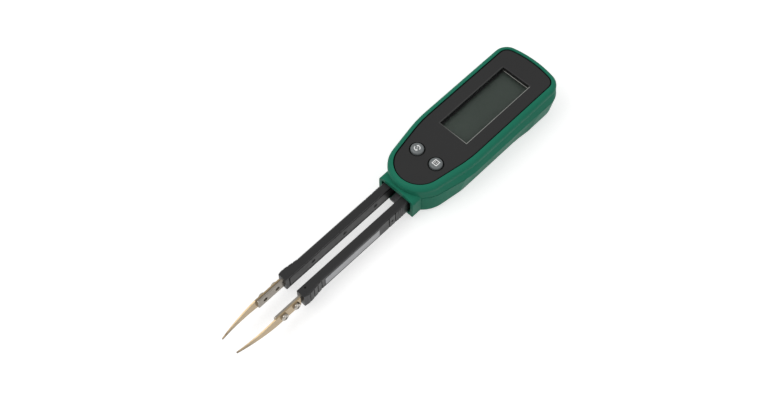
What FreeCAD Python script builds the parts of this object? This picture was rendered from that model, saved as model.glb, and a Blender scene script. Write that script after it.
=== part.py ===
# Tweezer-style component tester: a hand-held case with a display and two keys, and two sprung arms
# that carry metal test tips. It lies on its back: X across, Y along (tips at -Y), Z up from the back.
import FreeCAD
import Part
import Sketcher
import math
import os
import types

DOC = FreeCAD.newDocument("component_tester")
SHEET = DOC.addObject("Spreadsheet::Sheet", "dims")

# Driving dimensions in millimetres
DIMENSIONS = {
    # Overall
    "overall_length": 181.0,
    "case_length": 88.5,
    "case_height": 18.7,
    "case_half_width": 17.4,
    # Plan outline of the case at the parting line
    "case_corner_radius": 8.5,
    "case_end_radius": 46.0,
    "case_nose_radius": 14.2,
    "case_nose_setback": 1.3,
    "case_shoulder_radius": 30.0,
    "case_shoulder_run": 31.0,
    # Front case
    "seam_height": 12.0,
    "seam_groove": 0.4,
    "rim_height": 3.5,
    "rim_round": 2.3,
    "skirt_flare": 1.1,
    "skirt_end_flare": 0.4,
    "rim_width": 2.9,
    "rim_wall": 1.5,
    "rim_nose_setback": 0.8,
    "roof_thick": 1.2,
    # Front panel
    "panel_sink": 0.3,
    "panel_thick": 1.0,
    "panel_gap": 0.55,
    "panel_corner_radius": 4.0,
    "panel_nose_radius": 10.4,
    "panel_shoulder_radius": 60.0,
    "panel_shoulder_run": 35.0,
    # Rear case
    "case_wall": 2.0,
    "floor_thick": 2.4,
    "side_wall": 3.0,
    "belly_round": 3.5,
    "belly_draft": 1.5,
    "belly_end_draft": 1.2,
    "cavity_round": 2.4,
    "waist_depth": 0.8,
    "waist_lean": 1.9,
    "waist_near_run": 29.0,
    "waist_far_run": 30.5,
    "waist_near_ease": 24.0,
    "waist_far_ease": 15.0,
    "belly_front": 3.0,
    # Hood round the arms
    "hood_half_width": 9.6,
    "hood_wall": 1.5,
    "hood_arch": 1.6,
    "hood_depth": 5.4,
    "hood_passage": 1.8,
    "hood_roof": 0.8,
    "hood_round": 2.0,
    "hood_foot_round": 0.6,
    "hood_mouth_round": 1.8,
    # Case screws
    "screw_radius": 1.0,
    "screw_head_radius": 1.9,
    "screw_head_thick": 1.4,
    "screw_grip": 2.6,
    "screw_sink": 1.2,
    "screw_boss_wall": 1.2,
    "screw_near_inset": 6.0,
    "screw_near_run": 28.0,
    "screw_far_inset": 6.8,
    "screw_far_run": 6.5,
    "post_radius": 1.4,
    "post_inset": 4.6,
    # Display
    "window_half_width": 7.4,
    "window_run": 34.6,
    "window_far_run": 13.5,
    "window_corner": 0.6,
    "window_bevel": 0.2,
    "collar_wall": 0.8,
    "window_margin": 1.8,
    "window_thick": 0.8,
    "glass_thick": 1.1,
    "glass_ledge": 2.0,
    "holder_wall": 1.2,
    "holder_rail": 1.2,
    "zebra_width": 1.4,
    "zebra_end": 3.0,
    # Main board
    "board_height": 7.0,
    "board_thick": 1.6,
    "board_gap": 1.2,
    "board_near_run": 14.5,
    "board_near_half": 10.5,
    "board_far_margin": 10.0,
    "board_far_cut": 5.0,
    "chip_radius": 4.6,
    "chip_height": 1.8,
    # Keys
    "key_spacing": 10.5,
    "key_run": 18.2,
    "key_radius": 2.9,
    "key_proud": 1.0,
    "key_crown": 0.9,
    "key_travel": 0.4,
    "key_gap": 0.3,
    "key_flange": 1.1,
    "key_flange_thick": 0.9,
    "key_stem_radius": 1.6,
    "switch_width": 4.5,
    "switch_height": 3.5,
    "plunger_radius": 1.3,
    "plunger_height": 0.8,
    # Battery
    "cell_radius": 10.0,
    "cell_thick": 3.2,
    "cell_shift": 1.8,
    "cell_gap": 0.2,
    "tray_wall": 1.6,
    "tray_web": 0.3,
    "cell_contact_radius": 3.0,
    "side_contact_width": 5.0,
    "side_contact_thick": 0.7,
    "cover_thick": 1.6,
    "cover_lap": 1.0,
    "cover_gap": 0.2,
    "cover_tab": 7.0,
    "cover_hook_width": 3.0,
    "cover_hook_reach": 1.6,
    "cover_corner": 1.5,
    "cover_screw_radius": 0.9,
    "cover_screw_head": 1.7,
    "cover_screw_head_thick": 0.8,
    "cover_screw_length": 4.6,
    "cover_boss_wall": 1.3,
    # Arms
    "arm_gap": 6.3,
    "arm_thick": 3.75,
    "arm_floor": 4.2,
    "arm_height": 7.7,
    "tip_reach": 33.0,
    "arm_tail": 12.5,
    "arm_play": 0.1,
    "arm_edge": 0.45,
    "pivot_run": 8.5,
    "pivot_inset": 3.85,
    "pin_radius": 1.0,
    "pin_clearance": 0.03,
    "pin_seat": 2.9,
    "knuckle_wall": 1.1,
    "tail_inset": 0.9,
    "grip_swell": 0.9,
    "grip_near": 1.8,
    "grip_flat": 1.6,
    "grip_ramp": 7.0,
    "grip_end_taper": 0.55,
    "grip_blend": 8.0,
    "rib_width": 0.5,
    "rib_depth": 0.3,
    "rib_pitch": 2.35,
    "rib_run": 2.85,
    "collar_rib_run": 7.35,
    "collar_rib_pitch": 3.75,
    "dimple_radius": 0.5,
    "lid_thick": 1.25,
    "lid_margin": 0.8,
    "lid_end": 2.0,
    "lid_rear": 3.0,
    "lid_gap": 0.05,
    "lid_screw_radius": 0.5,
    "lid_screw_head": 1.0,
    "lid_screw_head_thick": 0.45,
    "lid_screw_bite": 0.9,
    "lid_screw_run": 8.9,
    "lid_screw_near": 15.0,
    "label_thick": 0.12,
    "label_gap": 1.5,
    "label_height": 4.6,
    "label_run": 16.9,
    # Contact strip and tip
    "strip_thick": 1.0,
    "strip_height": 5.0,
    "strip_gap": 0.1,
    "strip_reach": 13.7,
    "strip_tail": 0.7,
    "strip_corner": 0.6,
    "tip_thick": 0.6,
    "tip_height": 5.8,
    "tip_start": 0.8,
    "tip_bend": 19.0,
    "tip_inset": 1.6,
    "tip_point_thick": 0.4,
    "tip_point_height": 0.8,
    "tip_screw_radius": 1.0,
    "tip_screw_head": 1.7,
    "tip_screw_head_thick": 1.3,
    "tip_screw_crown": 0.7,
    "tip_screw_run": 3.4,
    "tip_screw_pitch": 6.5,
    "thread_gap": 0.02,
    # Nose block, return spring and board contacts
    "tongue_half": 2.5,
    "tongue_reach": 1.0,
    "tongue_thick": 1.2,
    "stop_half": 2.9,
    "block_rear": 12.0,
    "post_run": 9.5,
    "spring_post_radius": 1.5,
    "spring_post_height": 5.8,
    "spring_thick": 0.35,
    "spring_height": 3.0,
    "spring_gap": 0.1,
    "spring_pad": 1.4,
    "spring_reach": 3.2,
    "contact_thick": 0.3,
    "contact_height": 1.8,
    "contact_foot": 1.2,
    "contact_touch": 0.05,
    # Small seating gap between stacked pieces
    "seat_gap": 0.1,
}


class Size:
    """A length in millimetres together with the sheet expression that drives it."""

    def __init__(self, value, text):
        self.value = value
        self.text = text

    def combine(self, other, sign, value):
        return Size(value, "(%s %s %s)" % (self.text, sign, other.text))

    def __add__(self, other):
        other = as_size(other)
        return self.combine(other, "+", self.value + other.value)

    def __sub__(self, other):
        other = as_size(other)
        return self.combine(other, "-", self.value - other.value)

    def __mul__(self, other):
        other = as_size(other)
        return self.combine(other, "*", self.value * other.value)

    def __truediv__(self, other):
        other = as_size(other)
        return self.combine(other, "/", self.value / other.value)

    def __radd__(self, other):
        return as_size(other) + self

    def __rsub__(self, other):
        return as_size(other) - self

    def __rmul__(self, other):
        return as_size(other) * self

    def __neg__(self):
        return as_size(0) - self


def as_size(number):
    if isinstance(number, Size):
        return number
    return Size(float(number), repr(float(number)))


def fill_sheet():
    """Write each dimension as a plain number with its alias, and hand back the sizes by name."""
    sizes = {}
    for row, (alias, value) in enumerate(DIMENSIONS.items(), start=1):
        SHEET.set("A%d" % row, alias.replace("_", " "))
        SHEET.set("B%d" % row, str(value))
        SHEET.setAlias("B%d" % row, alias)
        sizes[alias] = Size(value, "dims." + alias)
    DOC.recompute()
    return types.SimpleNamespace(**sizes)


d = fill_sheet()
ZERO = as_size(0)


# Sketch and feature helpers
def new_body(label):
    body = DOC.addObject("PartDesign::Body", label)
    body.Label = label
    body.AllowCompound = True
    return body


def sketch(body, plane_role, offset):
    """A sketch on one of the body's own origin planes, moved along the plane's normal."""
    drawing = body.newObject("Sketcher::SketchObject", body.Name + "_sketch")
    plane = [f for f in body.Origin.OriginFeatures if f.Role == plane_role][0]
    drawing.AttachmentSupport = [(plane, "")]
    drawing.MapMode = "FlatFace"
    drawing.setExpression("AttachmentOffset.Base.z", as_size(offset).text)
    return drawing


def top_sketch(body, height):
    return sketch(body, "XY_Plane", height)


def front_sketch(body, run):
    """A sketch across the tester at Y = run; its normal points to -Y."""
    return sketch(body, "XZ_Plane", -as_size(run))


def side_sketch(body, across):
    """A sketch along the tester at X = across; its own x is Y and its y is Z."""
    return sketch(body, "YZ_Plane", across)


def dimension(drawing, kind, geometry, point, size):
    """Add a named dimension, bound to the sheet."""
    size = as_size(size)
    if point is None:
        rule = Sketcher.Constraint(kind, geometry, size.value)
    else:
        rule = Sketcher.Constraint(kind, geometry, point, size.value)
    index = drawing.addConstraint(rule)
    name = "size%d" % index
    drawing.renameConstraint(index, name)
    drawing.setExpression("Constraints." + name, size.text)


def place(drawing, geometry, point, spot):
    dimension(drawing, "DistanceX", geometry, point, spot[0])
    dimension(drawing, "DistanceY", geometry, point, spot[1])


def vector(spot):
    return FreeCAD.Vector(as_size(spot[0]).value, as_size(spot[1]).value, 0)


def polygon(drawing, spots):
    """A closed outline of straight lines through the given points."""
    first = drawing.GeometryCount
    count = len(spots)
    for i in range(count):
        drawing.addGeometry(Part.LineSegment(vector(spots[i]), vector(spots[(i + 1) % count])))
    for i in range(count):
        drawing.addConstraint(Sketcher.Constraint("Coincident", first + i, 2, first + (i + 1) % count, 1))
        place(drawing, first + i, 1, spots[i])


def rectangle(drawing, left, right, low, high):
    polygon(drawing, [(left, low), (right, low), (right, high), (left, high)])


def circle(drawing, spot, radius):
    index = drawing.addGeometry(Part.Circle(vector(spot), FreeCAD.Vector(0, 0, 1), as_size(radius).value))
    dimension(drawing, "Radius", index, None, radius)
    place(drawing, index, 3, spot)


def arc_geometry(centre, radius, start, end):
    middle = FreeCAD.Vector(centre[0], centre[1], 0)
    return Part.ArcOfCircle(Part.Circle(middle, FreeCAD.Vector(0, 0, 1), radius), start, end)


def shield(drawing, o):
    """The case's plan outline: round nose, tapering sides, straight sides, rounded far end."""
    half, nose_r, side_r = o.half.value, o.nose_radius.value, o.shoulder_radius.value
    corner_r, end_r = o.corner_radius.value, o.end_radius.value
    nose_y = o.nose_front.value + nose_r
    side_x, side_y = half - side_r, o.shoulder.value
    reach = math.hypot(side_x, side_y - nose_y)
    taper = math.atan2(side_y - nose_y, side_x) - math.acos((nose_r - side_r) / reach)
    corner_x, end_y = half - corner_r, o.far.value - end_r
    corner_y = end_y + math.sqrt((end_r - corner_r) ** 2 - corner_x ** 2)
    turn = math.atan2(corner_y - end_y, corner_x)

    def line(start, end):
        return Part.LineSegment(FreeCAD.Vector(*start, 0), FreeCAD.Vector(*end, 0))

    def on_nose(sign):
        return sign * nose_r * math.cos(taper), nose_y + nose_r * math.sin(taper)

    def on_shoulder(sign):
        return sign * (side_x + side_r * math.cos(taper)), side_y + side_r * math.sin(taper)

    drawing.addGeometry([
        arc_geometry((0, nose_y), nose_r, math.pi - taper, 2 * math.pi + taper),
        line(on_nose(1), on_shoulder(1)),
        arc_geometry((side_x, side_y), side_r, taper, 0),
        line((half, side_y), (half, corner_y)),
        arc_geometry((corner_x, corner_y), corner_r, 0, turn),
        arc_geometry((0, end_y), end_r, turn, math.pi - turn),
        arc_geometry((-corner_x, corner_y), corner_r, math.pi - turn, math.pi),
        line((-half, corner_y), (-half, side_y)),
        arc_geometry((-side_x, side_y), side_r, math.pi, math.pi - taper),
        line(on_shoulder(-1), on_nose(-1)),
    ])
    pieces = 10
    for i in range(pieces):
        drawing.addConstraint(Sketcher.Constraint("Tangent", i, 2, (i + 1) % pieces, 1))
    for arc, radius in [(0, o.nose_radius), (2, o.shoulder_radius), (4, o.corner_radius),
                        (5, o.end_radius), (6, o.corner_radius), (8, o.shoulder_radius)]:
        dimension(drawing, "Radius", arc, None, radius)
    place(drawing, 0, 3, (ZERO, o.nose_front + o.nose_radius))
    place(drawing, 5, 3, (ZERO, o.far - o.end_radius))
    dimension(drawing, "DistanceX", 3, 1, o.half)
    dimension(drawing, "DistanceX", 7, 1, -o.half)
    dimension(drawing, "DistanceY", 2, 3, o.shoulder)
    dimension(drawing, "DistanceY", 8, 3, o.shoulder)
    for side in (3, 7):
        drawing.addConstraint(Sketcher.Constraint("Vertical", side))


def check_solid(feature):
    DOC.recompute()
    if "Invalid" in feature.State or "Error" in feature.State or feature.Shape.isNull():
        raise RuntimeError(feature.Name + " failed")
    return feature


def extrude(body, kind, drawing, length, flip):
    feature = body.newObject("PartDesign::" + kind, body.Name + "_" + kind.lower())
    feature.Profile = drawing
    feature.setExpression("Length", as_size(length).text)
    feature.Reversed = flip
    drawing.Visibility = False
    return check_solid(feature)


def pad(body, drawing, length, flip=False):
    return extrude(body, "Pad", drawing, length, flip)


def pocket(body, drawing, depth, flip=False):
    """Cut a pocket and make sure that it took material away."""
    before = body.Tip.Shape.Volume
    feature = extrude(body, "Pocket", drawing, depth, flip)
    if feature.Shape.Volume > before - 1e-6:
        raise RuntimeError(feature.Name + " cut nothing")
    return feature


def loft(body, kind, first, last):
    """Add or take away the straight-sided solid between two outlines."""
    feature = body.newObject("PartDesign::" + kind, body.Name + "_loft")
    feature.Profile = first
    feature.Sections = [last]
    feature.Ruled = True
    return check_solid(feature)


def dress(body, kind, size, test):
    """Round (Fillet) or bevel (Chamfer) those edges of the body that pass the test."""
    base = body.Tip
    names = ["Edge%d" % (i + 1) for i, edge in enumerate(base.Shape.Edges) if test(edge)]
    if not names:
        raise RuntimeError(body.Label + " has no edge to dress")
    feature = body.newObject("PartDesign::" + kind, body.Name + "_" + kind.lower())
    feature.Base = (base, names)
    feature.setExpression("Radius" if kind == "Fillet" else "Size", as_size(size).text)
    return check_solid(feature)


def near(a, b):
    return abs(a - as_size(b).value) < 1e-4


def level(edge, height):
    return near(edge.BoundBox.ZMin, height) and near(edge.BoundBox.ZMax, height)


def upright_at(edge, x, y):
    """True for an edge that runs straight up at the given spot."""
    box = edge.BoundBox
    return near(box.XMin, x) and near(box.XMax, x) and near(box.YMin, y) and near(box.YMax, y)


def along_y_at(edge, x, z):
    box = edge.BoundBox
    return near(box.XMin, x) and near(box.XMax, x) and near(box.ZMin, z) and near(box.ZMax, z)


def along_x_at(edge, y, z):
    box = edge.BoundBox
    return near(box.YMin, y) and near(box.YMax, y) and near(box.ZMin, z) and near(box.ZMax, z)


def mirrored(source, label):
    twin = DOC.addObject("Part::Mirroring", label)
    twin.Label = label
    twin.Source = source
    twin.Normal = (1, 0, 0)
    twin.Base = (0, 0, 0)
    return check_solid(twin)


def pair(x, y):
    """The same spot on the right and on the left of the tester."""
    return [(x, y), (-x, y)]


# Places along the tester and heights that several pieces share
case_far = d.overall_length / 2
hood_front = case_far - d.case_length
hood_back = hood_front + d.hood_depth
tip_point = -(d.overall_length / 2)
arm_end = tip_point + d.tip_reach
arm_top = d.arm_floor + d.arm_height
arm_inner = d.arm_gap / 2
arm_outer = arm_inner + d.arm_thick
arm_middle = d.arm_floor + d.arm_height / 2
pivot_x = arm_inner + d.pivot_inset
pivot_y = hood_front + d.pivot_run
panel_top = d.case_height - d.panel_sink
recess_floor = panel_top - d.panel_thick
roof_under = recess_floor - d.roof_thick
board_top = d.board_height + d.board_thick
rim_half = d.case_half_width - d.skirt_flare
rim_far = case_far - d.skirt_end_flare
rim_front = hood_front + d.rim_nose_setback
key_x = d.key_spacing / 2
key_y = hood_front + d.key_run
key_hole = d.key_radius + d.key_gap
screw_hole = d.screw_radius + d.thread_gap
screw_places = (pair(d.case_half_width - d.screw_near_inset, hood_front + d.screw_near_run)
                + pair(d.case_half_width - d.screw_far_inset, case_far - d.screw_far_run))
screw_boss = d.screw_head_radius + d.cover_gap + d.screw_boss_wall / 2
pivot_places = pair(pivot_x, pivot_y)
window_near = hood_front + d.window_run
window_far = case_far - d.window_far_run
cell_y = (window_near + window_far) / 2 - d.cell_shift
cell_top = d.board_height - d.tray_web
cell_floor = cell_top - d.cell_thick


def case_outline(grow):
    """Plan outline at the parting line, grown (or shrunk) by an even margin."""
    return types.SimpleNamespace(
        half=d.case_half_width + grow, far=case_far + grow,
        corner_radius=d.case_corner_radius + grow, end_radius=d.case_end_radius + grow,
        nose_radius=d.case_nose_radius + grow, nose_front=hood_front + d.case_nose_setback - grow,
        shoulder_radius=d.case_shoulder_radius + grow, shoulder=hood_front + d.case_shoulder_run)


def narrowed(outline, side, end):
    """The same outline with its sides and its far end drawn in; the nose stays."""
    outline.half = outline.half - side
    outline.far = outline.far - end
    return outline


def panel_outline(grow):
    """Plan outline of the front panel, grown by an even margin; the rim follows it."""
    return types.SimpleNamespace(
        half=rim_half - d.rim_width + grow, far=rim_far - d.rim_width + grow,
        corner_radius=d.panel_corner_radius + grow, end_radius=d.case_end_radius + grow,
        nose_radius=d.panel_nose_radius + grow, nose_front=rim_front + d.rim_width - grow,
        shoulder_radius=d.panel_shoulder_radius + grow, shoulder=hood_front + d.panel_shoulder_run)


def window_cut(drawing, margin):
    rectangle(drawing, -(d.window_half_width + margin), d.window_half_width + margin,
              window_near - margin, window_far + margin)


def window_corner(edge, margin):
    """True for the upright edges in the four corners of the display window, or of a margin round it."""
    return any(upright_at(edge, x, y) for y in (window_near - margin, window_far + margin)
               for x in (d.window_half_width + margin, -(d.window_half_width + margin)))


def window_rim(edge):
    """True for the edges round the display window in the face of the panel."""
    box = edge.BoundBox
    inside = box.XMax < d.window_half_width.value + 1 and box.XMin > -d.window_half_width.value - 1
    return level(edge, panel_top) and inside and box.YMin > window_near.value - 1 and box.YMax < case_far.value


# Front case: a green moulding with a rounded rim, a flared skirt and the hood round the arms
def make_front_case():
    body = new_body("front_case")
    hood_floor = d.arm_floor - d.cover_gap - d.hood_wall
    opening_top = arm_top + d.cover_gap
    hood_side = opening_top + d.hood_roof
    radius = (d.hood_half_width * d.hood_half_width + d.hood_arch * d.hood_arch) / (2 * d.hood_arch)
    hood_profile(body, hood_front, d.hood_half_width, hood_floor, hood_side, radius, d.hood_depth)
    dress(body, "Fillet", d.hood_round, lambda e: along_hood(e, d.hood_half_width, hood_side))
    dress(body, "Fillet", d.hood_foot_round, lambda e: along_hood(e, d.hood_half_width, hood_floor))

    seam = top_sketch(body, d.seam_height)
    shield(seam, case_outline(ZERO))
    crease = top_sketch(body, d.case_height - d.rim_height)
    shield(crease, panel_outline(d.rim_width))
    loft(body, "AdditiveLoft", seam, crease)
    pad(body, crease, d.rim_height)
    dress(body, "Fillet", d.rim_round, lambda e: level(e, d.case_height))

    inner_half = d.hood_half_width - d.hood_wall
    cavity = top_sketch(body, d.seam_height)
    shield(cavity, panel_outline(d.rim_width - d.rim_wall))
    pocket(body, cavity, roof_under - d.seam_height, flip=True)
    opening = front_sketch(body, hood_front)
    rectangle(opening, -inner_half, inner_half, hood_floor + d.hood_wall, opening_top)
    pocket(body, opening, d.hood_depth + d.hood_wall)
    dress(body, "Fillet", d.hood_mouth_round,
          lambda e: along_hood(e, inner_half, hood_floor + d.hood_wall))

    recess = top_sketch(body, d.case_height)
    shield(recess, panel_outline(d.panel_gap))
    pocket(body, recess, d.case_height - recess_floor)
    cuts = top_sketch(body, recess_floor)
    collar_room = d.collar_wall + d.seat_gap
    window_cut(cuts, collar_room)
    for spot in pair(key_x, key_y):
        circle(cuts, spot, key_hole)
    pocket(body, cuts, d.roof_thick)
    dress(body, "Fillet", d.window_corner, lambda e: window_corner(e, collar_room))

    bosses = top_sketch(body, roof_under)
    for spot in screw_places:
        circle(bosses, spot, d.screw_radius + d.screw_boss_wall)
    pad(body, bosses, roof_under - d.seam_height, flip=True)
    knuckles = top_sketch(body, roof_under)
    for spot in pivot_places:
        circle(knuckles, spot, d.pin_radius + d.knuckle_wall)
    pad(body, knuckles, roof_under - arm_top - d.arm_play, flip=True)
    pilots = top_sketch(body, d.seam_height)
    for spot in screw_places:
        circle(pilots, spot, screw_hole)
    pocket(body, pilots, d.screw_grip + d.seat_gap, flip=True)
    pin_holes = top_sketch(body, arm_top + d.arm_play)
    for spot in pivot_places:
        circle(pin_holes, spot, d.pin_radius + d.thread_gap)
    pocket(body, pin_holes, d.pin_seat + d.seat_gap, flip=True)
    return body


def hood_profile(body, run, half, low, side, radius, depth):
    """A box with an arched top, drawn across the tester and extruded towards the case."""
    drawing = front_sketch(body, run)
    rise = radius.value - math.sqrt(radius.value ** 2 - half.value ** 2)
    centre = side.value + rise - radius.value
    swing = math.asin(half.value / radius.value)
    corners = [(-half, side), (-half, low), (half, low), (half, side)]
    for i in range(3):
        drawing.addGeometry(Part.LineSegment(vector(corners[i]), vector(corners[i + 1])))
    drawing.addGeometry(arc_geometry((0, centre), radius.value, math.pi / 2 - swing, math.pi / 2 + swing))
    for i in range(4):
        drawing.addConstraint(Sketcher.Constraint("Coincident", i, 2, (i + 1) % 4, 1))
    for i in range(3):
        place(drawing, i, 1, corners[i])
    place(drawing, 2, 2, corners[3])
    dimension(drawing, "Radius", 3, None, radius)
    pad(body, drawing, depth, flip=True)


def along_hood(edge, half, height):
    """True for the edges along the hood at this height, right and left."""
    return along_y_at(edge, half, height) or along_y_at(edge, -half, height)


# Rear case: the deep green back half, waisted for the fingers, with the battery opening
def make_rear_case():
    body = new_body("rear_case")
    seam = top_sketch(body, d.seam_height - d.seam_groove)
    shield(seam, case_outline(ZERO))
    belly = top_sketch(body, ZERO)
    shield(belly, narrowed(case_outline(ZERO), d.belly_draft, d.belly_end_draft))
    loft(body, "AdditiveLoft", seam, belly)
    dress(body, "Fillet", d.belly_round, lambda e: level(e, ZERO))
    step = top_sketch(body, d.seam_height - d.seam_groove)
    shield(step, case_outline(-d.seam_groove))
    pad(body, step, d.seam_groove)
    for sign in (1, -1):
        upper = top_sketch(body, d.seam_height)
        waist_outline(upper, sign, d.waist_depth)
        lower = top_sketch(body, ZERO)
        waist_outline(lower, sign, d.waist_depth + d.waist_lean)
        loft(body, "SubtractiveLoft", upper, lower)

    cavity = top_sketch(body, d.seam_height)
    extra_wall = d.side_wall - d.case_wall
    shield(cavity, narrowed(case_outline(-d.case_wall), extra_wall, ZERO))
    pocket(body, cavity, d.seam_height - d.floor_thick)
    dress(body, "Fillet", d.cavity_round, lambda e: level(e, d.floor_thick))

    nose = top_sketch(body, d.seam_height)
    rectangle(nose, -d.case_half_width, d.case_half_width, hood_front, hood_front + d.belly_front)
    pocket(body, nose, d.seam_height)
    hood_seat = top_sketch(body, d.seam_height)
    hood_room = d.hood_half_width + d.lid_gap
    rectangle(hood_seat, -hood_room, hood_room, hood_front, hood_back + d.lid_gap)
    hood_low = d.arm_floor - d.cover_gap - d.hood_wall - d.lid_gap
    pocket(body, hood_seat, d.seam_height - hood_low)
    passage = top_sketch(body, d.seam_height)
    passage_half = d.hood_half_width - d.hood_wall
    rectangle(passage, -passage_half, passage_half, hood_back, hood_back + d.hood_passage)
    pocket(body, passage, d.seam_height - d.arm_floor + d.cover_gap)

    towers = top_sketch(body, d.floor_thick)
    for spot in screw_places:
        circle(towers, spot, screw_boss)
    pad(body, towers, d.seam_height - d.floor_thick)
    seats = top_sketch(body, d.floor_thick)
    for spot in pivot_places:
        circle(seats, spot, d.pin_radius + d.knuckle_wall)
    pad(body, seats, d.arm_floor - d.arm_play - d.floor_thick)
    posts = top_sketch(body, d.floor_thick)
    post_x = d.case_half_width - d.post_inset
    for run in (window_near, window_far):
        for spot in pair(post_x, run):
            circle(posts, spot, d.post_radius)
    pad(body, posts, d.board_height - d.floor_thick)

    clearance = top_sketch(body, ZERO)
    for spot in screw_places:
        circle(clearance, spot, d.screw_radius + d.cover_gap)
    pocket(body, clearance, d.seam_height, flip=True)
    sinks = top_sketch(body, ZERO)
    for spot in screw_places:
        circle(sinks, spot, d.screw_head_radius + d.cover_gap)
    pocket(body, sinks, d.screw_sink + d.screw_head_thick, flip=True)
    pin_holes = top_sketch(body, d.arm_floor - d.arm_play)
    for spot in pivot_places:
        circle(pin_holes, spot, d.pin_radius + d.thread_gap)
    pocket(body, pin_holes, d.pin_seat + d.seat_gap)

    recess = top_sketch(body, ZERO)
    rectangle(recess, -(cover_half + d.cover_gap), cover_half + d.cover_gap,
              cover_near - d.cover_gap, cover_far + d.cover_gap)
    pocket(body, recess, d.cover_thick + d.seat_gap, flip=True)
    recess_x, recess_runs = cover_half + d.cover_gap, (cover_near - d.cover_gap, cover_far + d.cover_gap)
    dress(body, "Fillet", d.cover_corner,
          lambda e: any(upright_at(e, x, y) for x in (recess_x, -recess_x) for y in recess_runs))
    opening = top_sketch(body, ZERO)
    rectangle(opening, -opening_half, opening_half, opening_near, opening_far)
    pocket(body, opening, d.floor_thick, flip=True)
    boss = top_sketch(body, d.floor_thick)
    circle(boss, cover_screw_place, d.cover_screw_radius + d.cover_boss_wall)
    pad(body, boss, d.board_height - d.seat_gap - d.floor_thick)
    pilot = top_sketch(body, d.cover_thick + d.seat_gap)
    circle(pilot, cover_screw_place, d.cover_screw_radius + d.thread_gap)
    pocket(body, pilot, d.cover_screw_length - d.cover_thick, flip=True)
    return body


def waist_outline(drawing, sign, depth):
    """The hollow for a finger on one side, seen from above: flat in the middle, easing out at both ends."""
    near_end = hood_front + d.waist_near_run
    far_end = case_far - d.waist_far_run
    shares = (0, 0.25, 0.5, 0.75, 1)
    runs = [(near_end - share * d.waist_near_ease, share) for share in reversed(shares)]
    runs += [(far_end + share * d.waist_far_ease, share) for share in shares]
    line = [(sign * (d.case_half_width - depth * (1 - 1.2 * share ** 2)), run) for run, share in runs]
    outside = sign * (d.case_half_width + d.waist_lean)
    polygon(drawing, [(outside, line[0][1])] + line + [(outside, line[-1][1])])


# Battery cover: its plan follows the cell, with a screwed end at the far side
opening_half = d.cell_radius + d.cell_gap + d.tray_wall / 2
opening_near = cell_y - opening_half
opening_far = cell_y + opening_half
cover_half = opening_half + d.cover_lap
cover_near = opening_near - d.cover_lap
cover_far = opening_far + d.cover_tab
cover_screw_place = (ZERO, opening_far + d.cover_tab / 2)


def make_battery_cover():
    body = new_body("battery_cover")
    plate = top_sketch(body, ZERO)
    rectangle(plate, -cover_half, cover_half, cover_near, cover_far)
    pad(body, plate, d.cover_thick)
    dress(body, "Fillet", d.cover_corner - d.cover_gap,
          lambda e: any(upright_at(e, x, y) for x in (cover_half, -cover_half) for y in (cover_near, cover_far)))
    pressure_ribs = top_sketch(body, d.cover_thick)
    rib_half = d.cell_radius / 2
    for run in (cell_y - rib_half, cell_y + rib_half):
        rectangle(pressure_ribs, -rib_half, rib_half, run, run + d.tray_wall)
    pad(body, pressure_ribs, cell_floor - d.seat_gap - d.cover_thick)
    hook_x = cover_half / 2
    stems = top_sketch(body, d.cover_thick)
    for side in (hook_x, -hook_x):
        rectangle(stems, side - d.cover_hook_width / 2, side + d.cover_hook_width / 2,
                  opening_near + d.cover_gap, opening_near + d.cover_gap + d.cover_hook_reach)
    pad(body, stems, d.floor_thick + d.seat_gap + d.tray_wall / 2 - d.cover_thick)
    hooks = top_sketch(body, d.floor_thick + d.seat_gap)
    for side in (hook_x, -hook_x):
        rectangle(hooks, side - d.cover_hook_width / 2, side + d.cover_hook_width / 2,
                  opening_near - d.cover_hook_reach, opening_near + d.cover_gap + d.cover_hook_reach)
    pad(body, hooks, d.tray_wall / 2)
    hole = top_sketch(body, ZERO)
    circle(hole, cover_screw_place, d.cover_screw_radius + d.cover_gap)
    pocket(body, hole, d.cover_thick, flip=True)
    sink = top_sketch(body, ZERO)
    circle(sink, cover_screw_place, d.cover_screw_head + d.cover_gap)
    pocket(body, sink, d.cover_screw_head_thick, flip=True)
    return body


def make_screws(label, places, base, head_radius, head_thick, shank_radius, length):
    """Upright screws, heads down at the back, as a group of separate solids."""
    body = new_body(label)
    heads = top_sketch(body, base)
    for spot in places:
        circle(heads, spot, head_radius)
    pad(body, heads, head_thick)
    shanks = top_sketch(body, base + head_thick)
    for spot in places:
        circle(shanks, spot, shank_radius)
    pad(body, shanks, length - head_thick)
    dress(body, "Fillet", head_thick / 3,
          lambda e: level(e, base) and near(e.BoundBox.XLength, 2 * head_radius))
    return body


# Front panel: black plate let into the rim, with the window and the key holes
def make_front_panel():
    body = new_body("front_panel")
    plate = top_sketch(body, recess_floor)
    shield(plate, panel_outline(ZERO))
    pad(body, plate, d.panel_thick)
    collar = top_sketch(body, recess_floor)
    window_cut(collar, d.collar_wall)
    collar_depth = d.roof_thick - d.seat_gap
    pad(body, collar, collar_depth, flip=True)
    dress(body, "Fillet", d.window_corner, lambda e: window_corner(e, d.collar_wall))
    keys = top_sketch(body, panel_top)
    for spot in pair(key_x, key_y):
        circle(keys, spot, key_hole)
    pocket(body, keys, d.panel_thick)
    window = top_sketch(body, panel_top)
    window_cut(window, ZERO)
    pocket(body, window, d.panel_thick + collar_depth)
    dress(body, "Fillet", d.window_corner, lambda e: window_corner(e, ZERO))
    dress(body, "Chamfer", d.window_bevel, window_rim)
    return body


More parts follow.
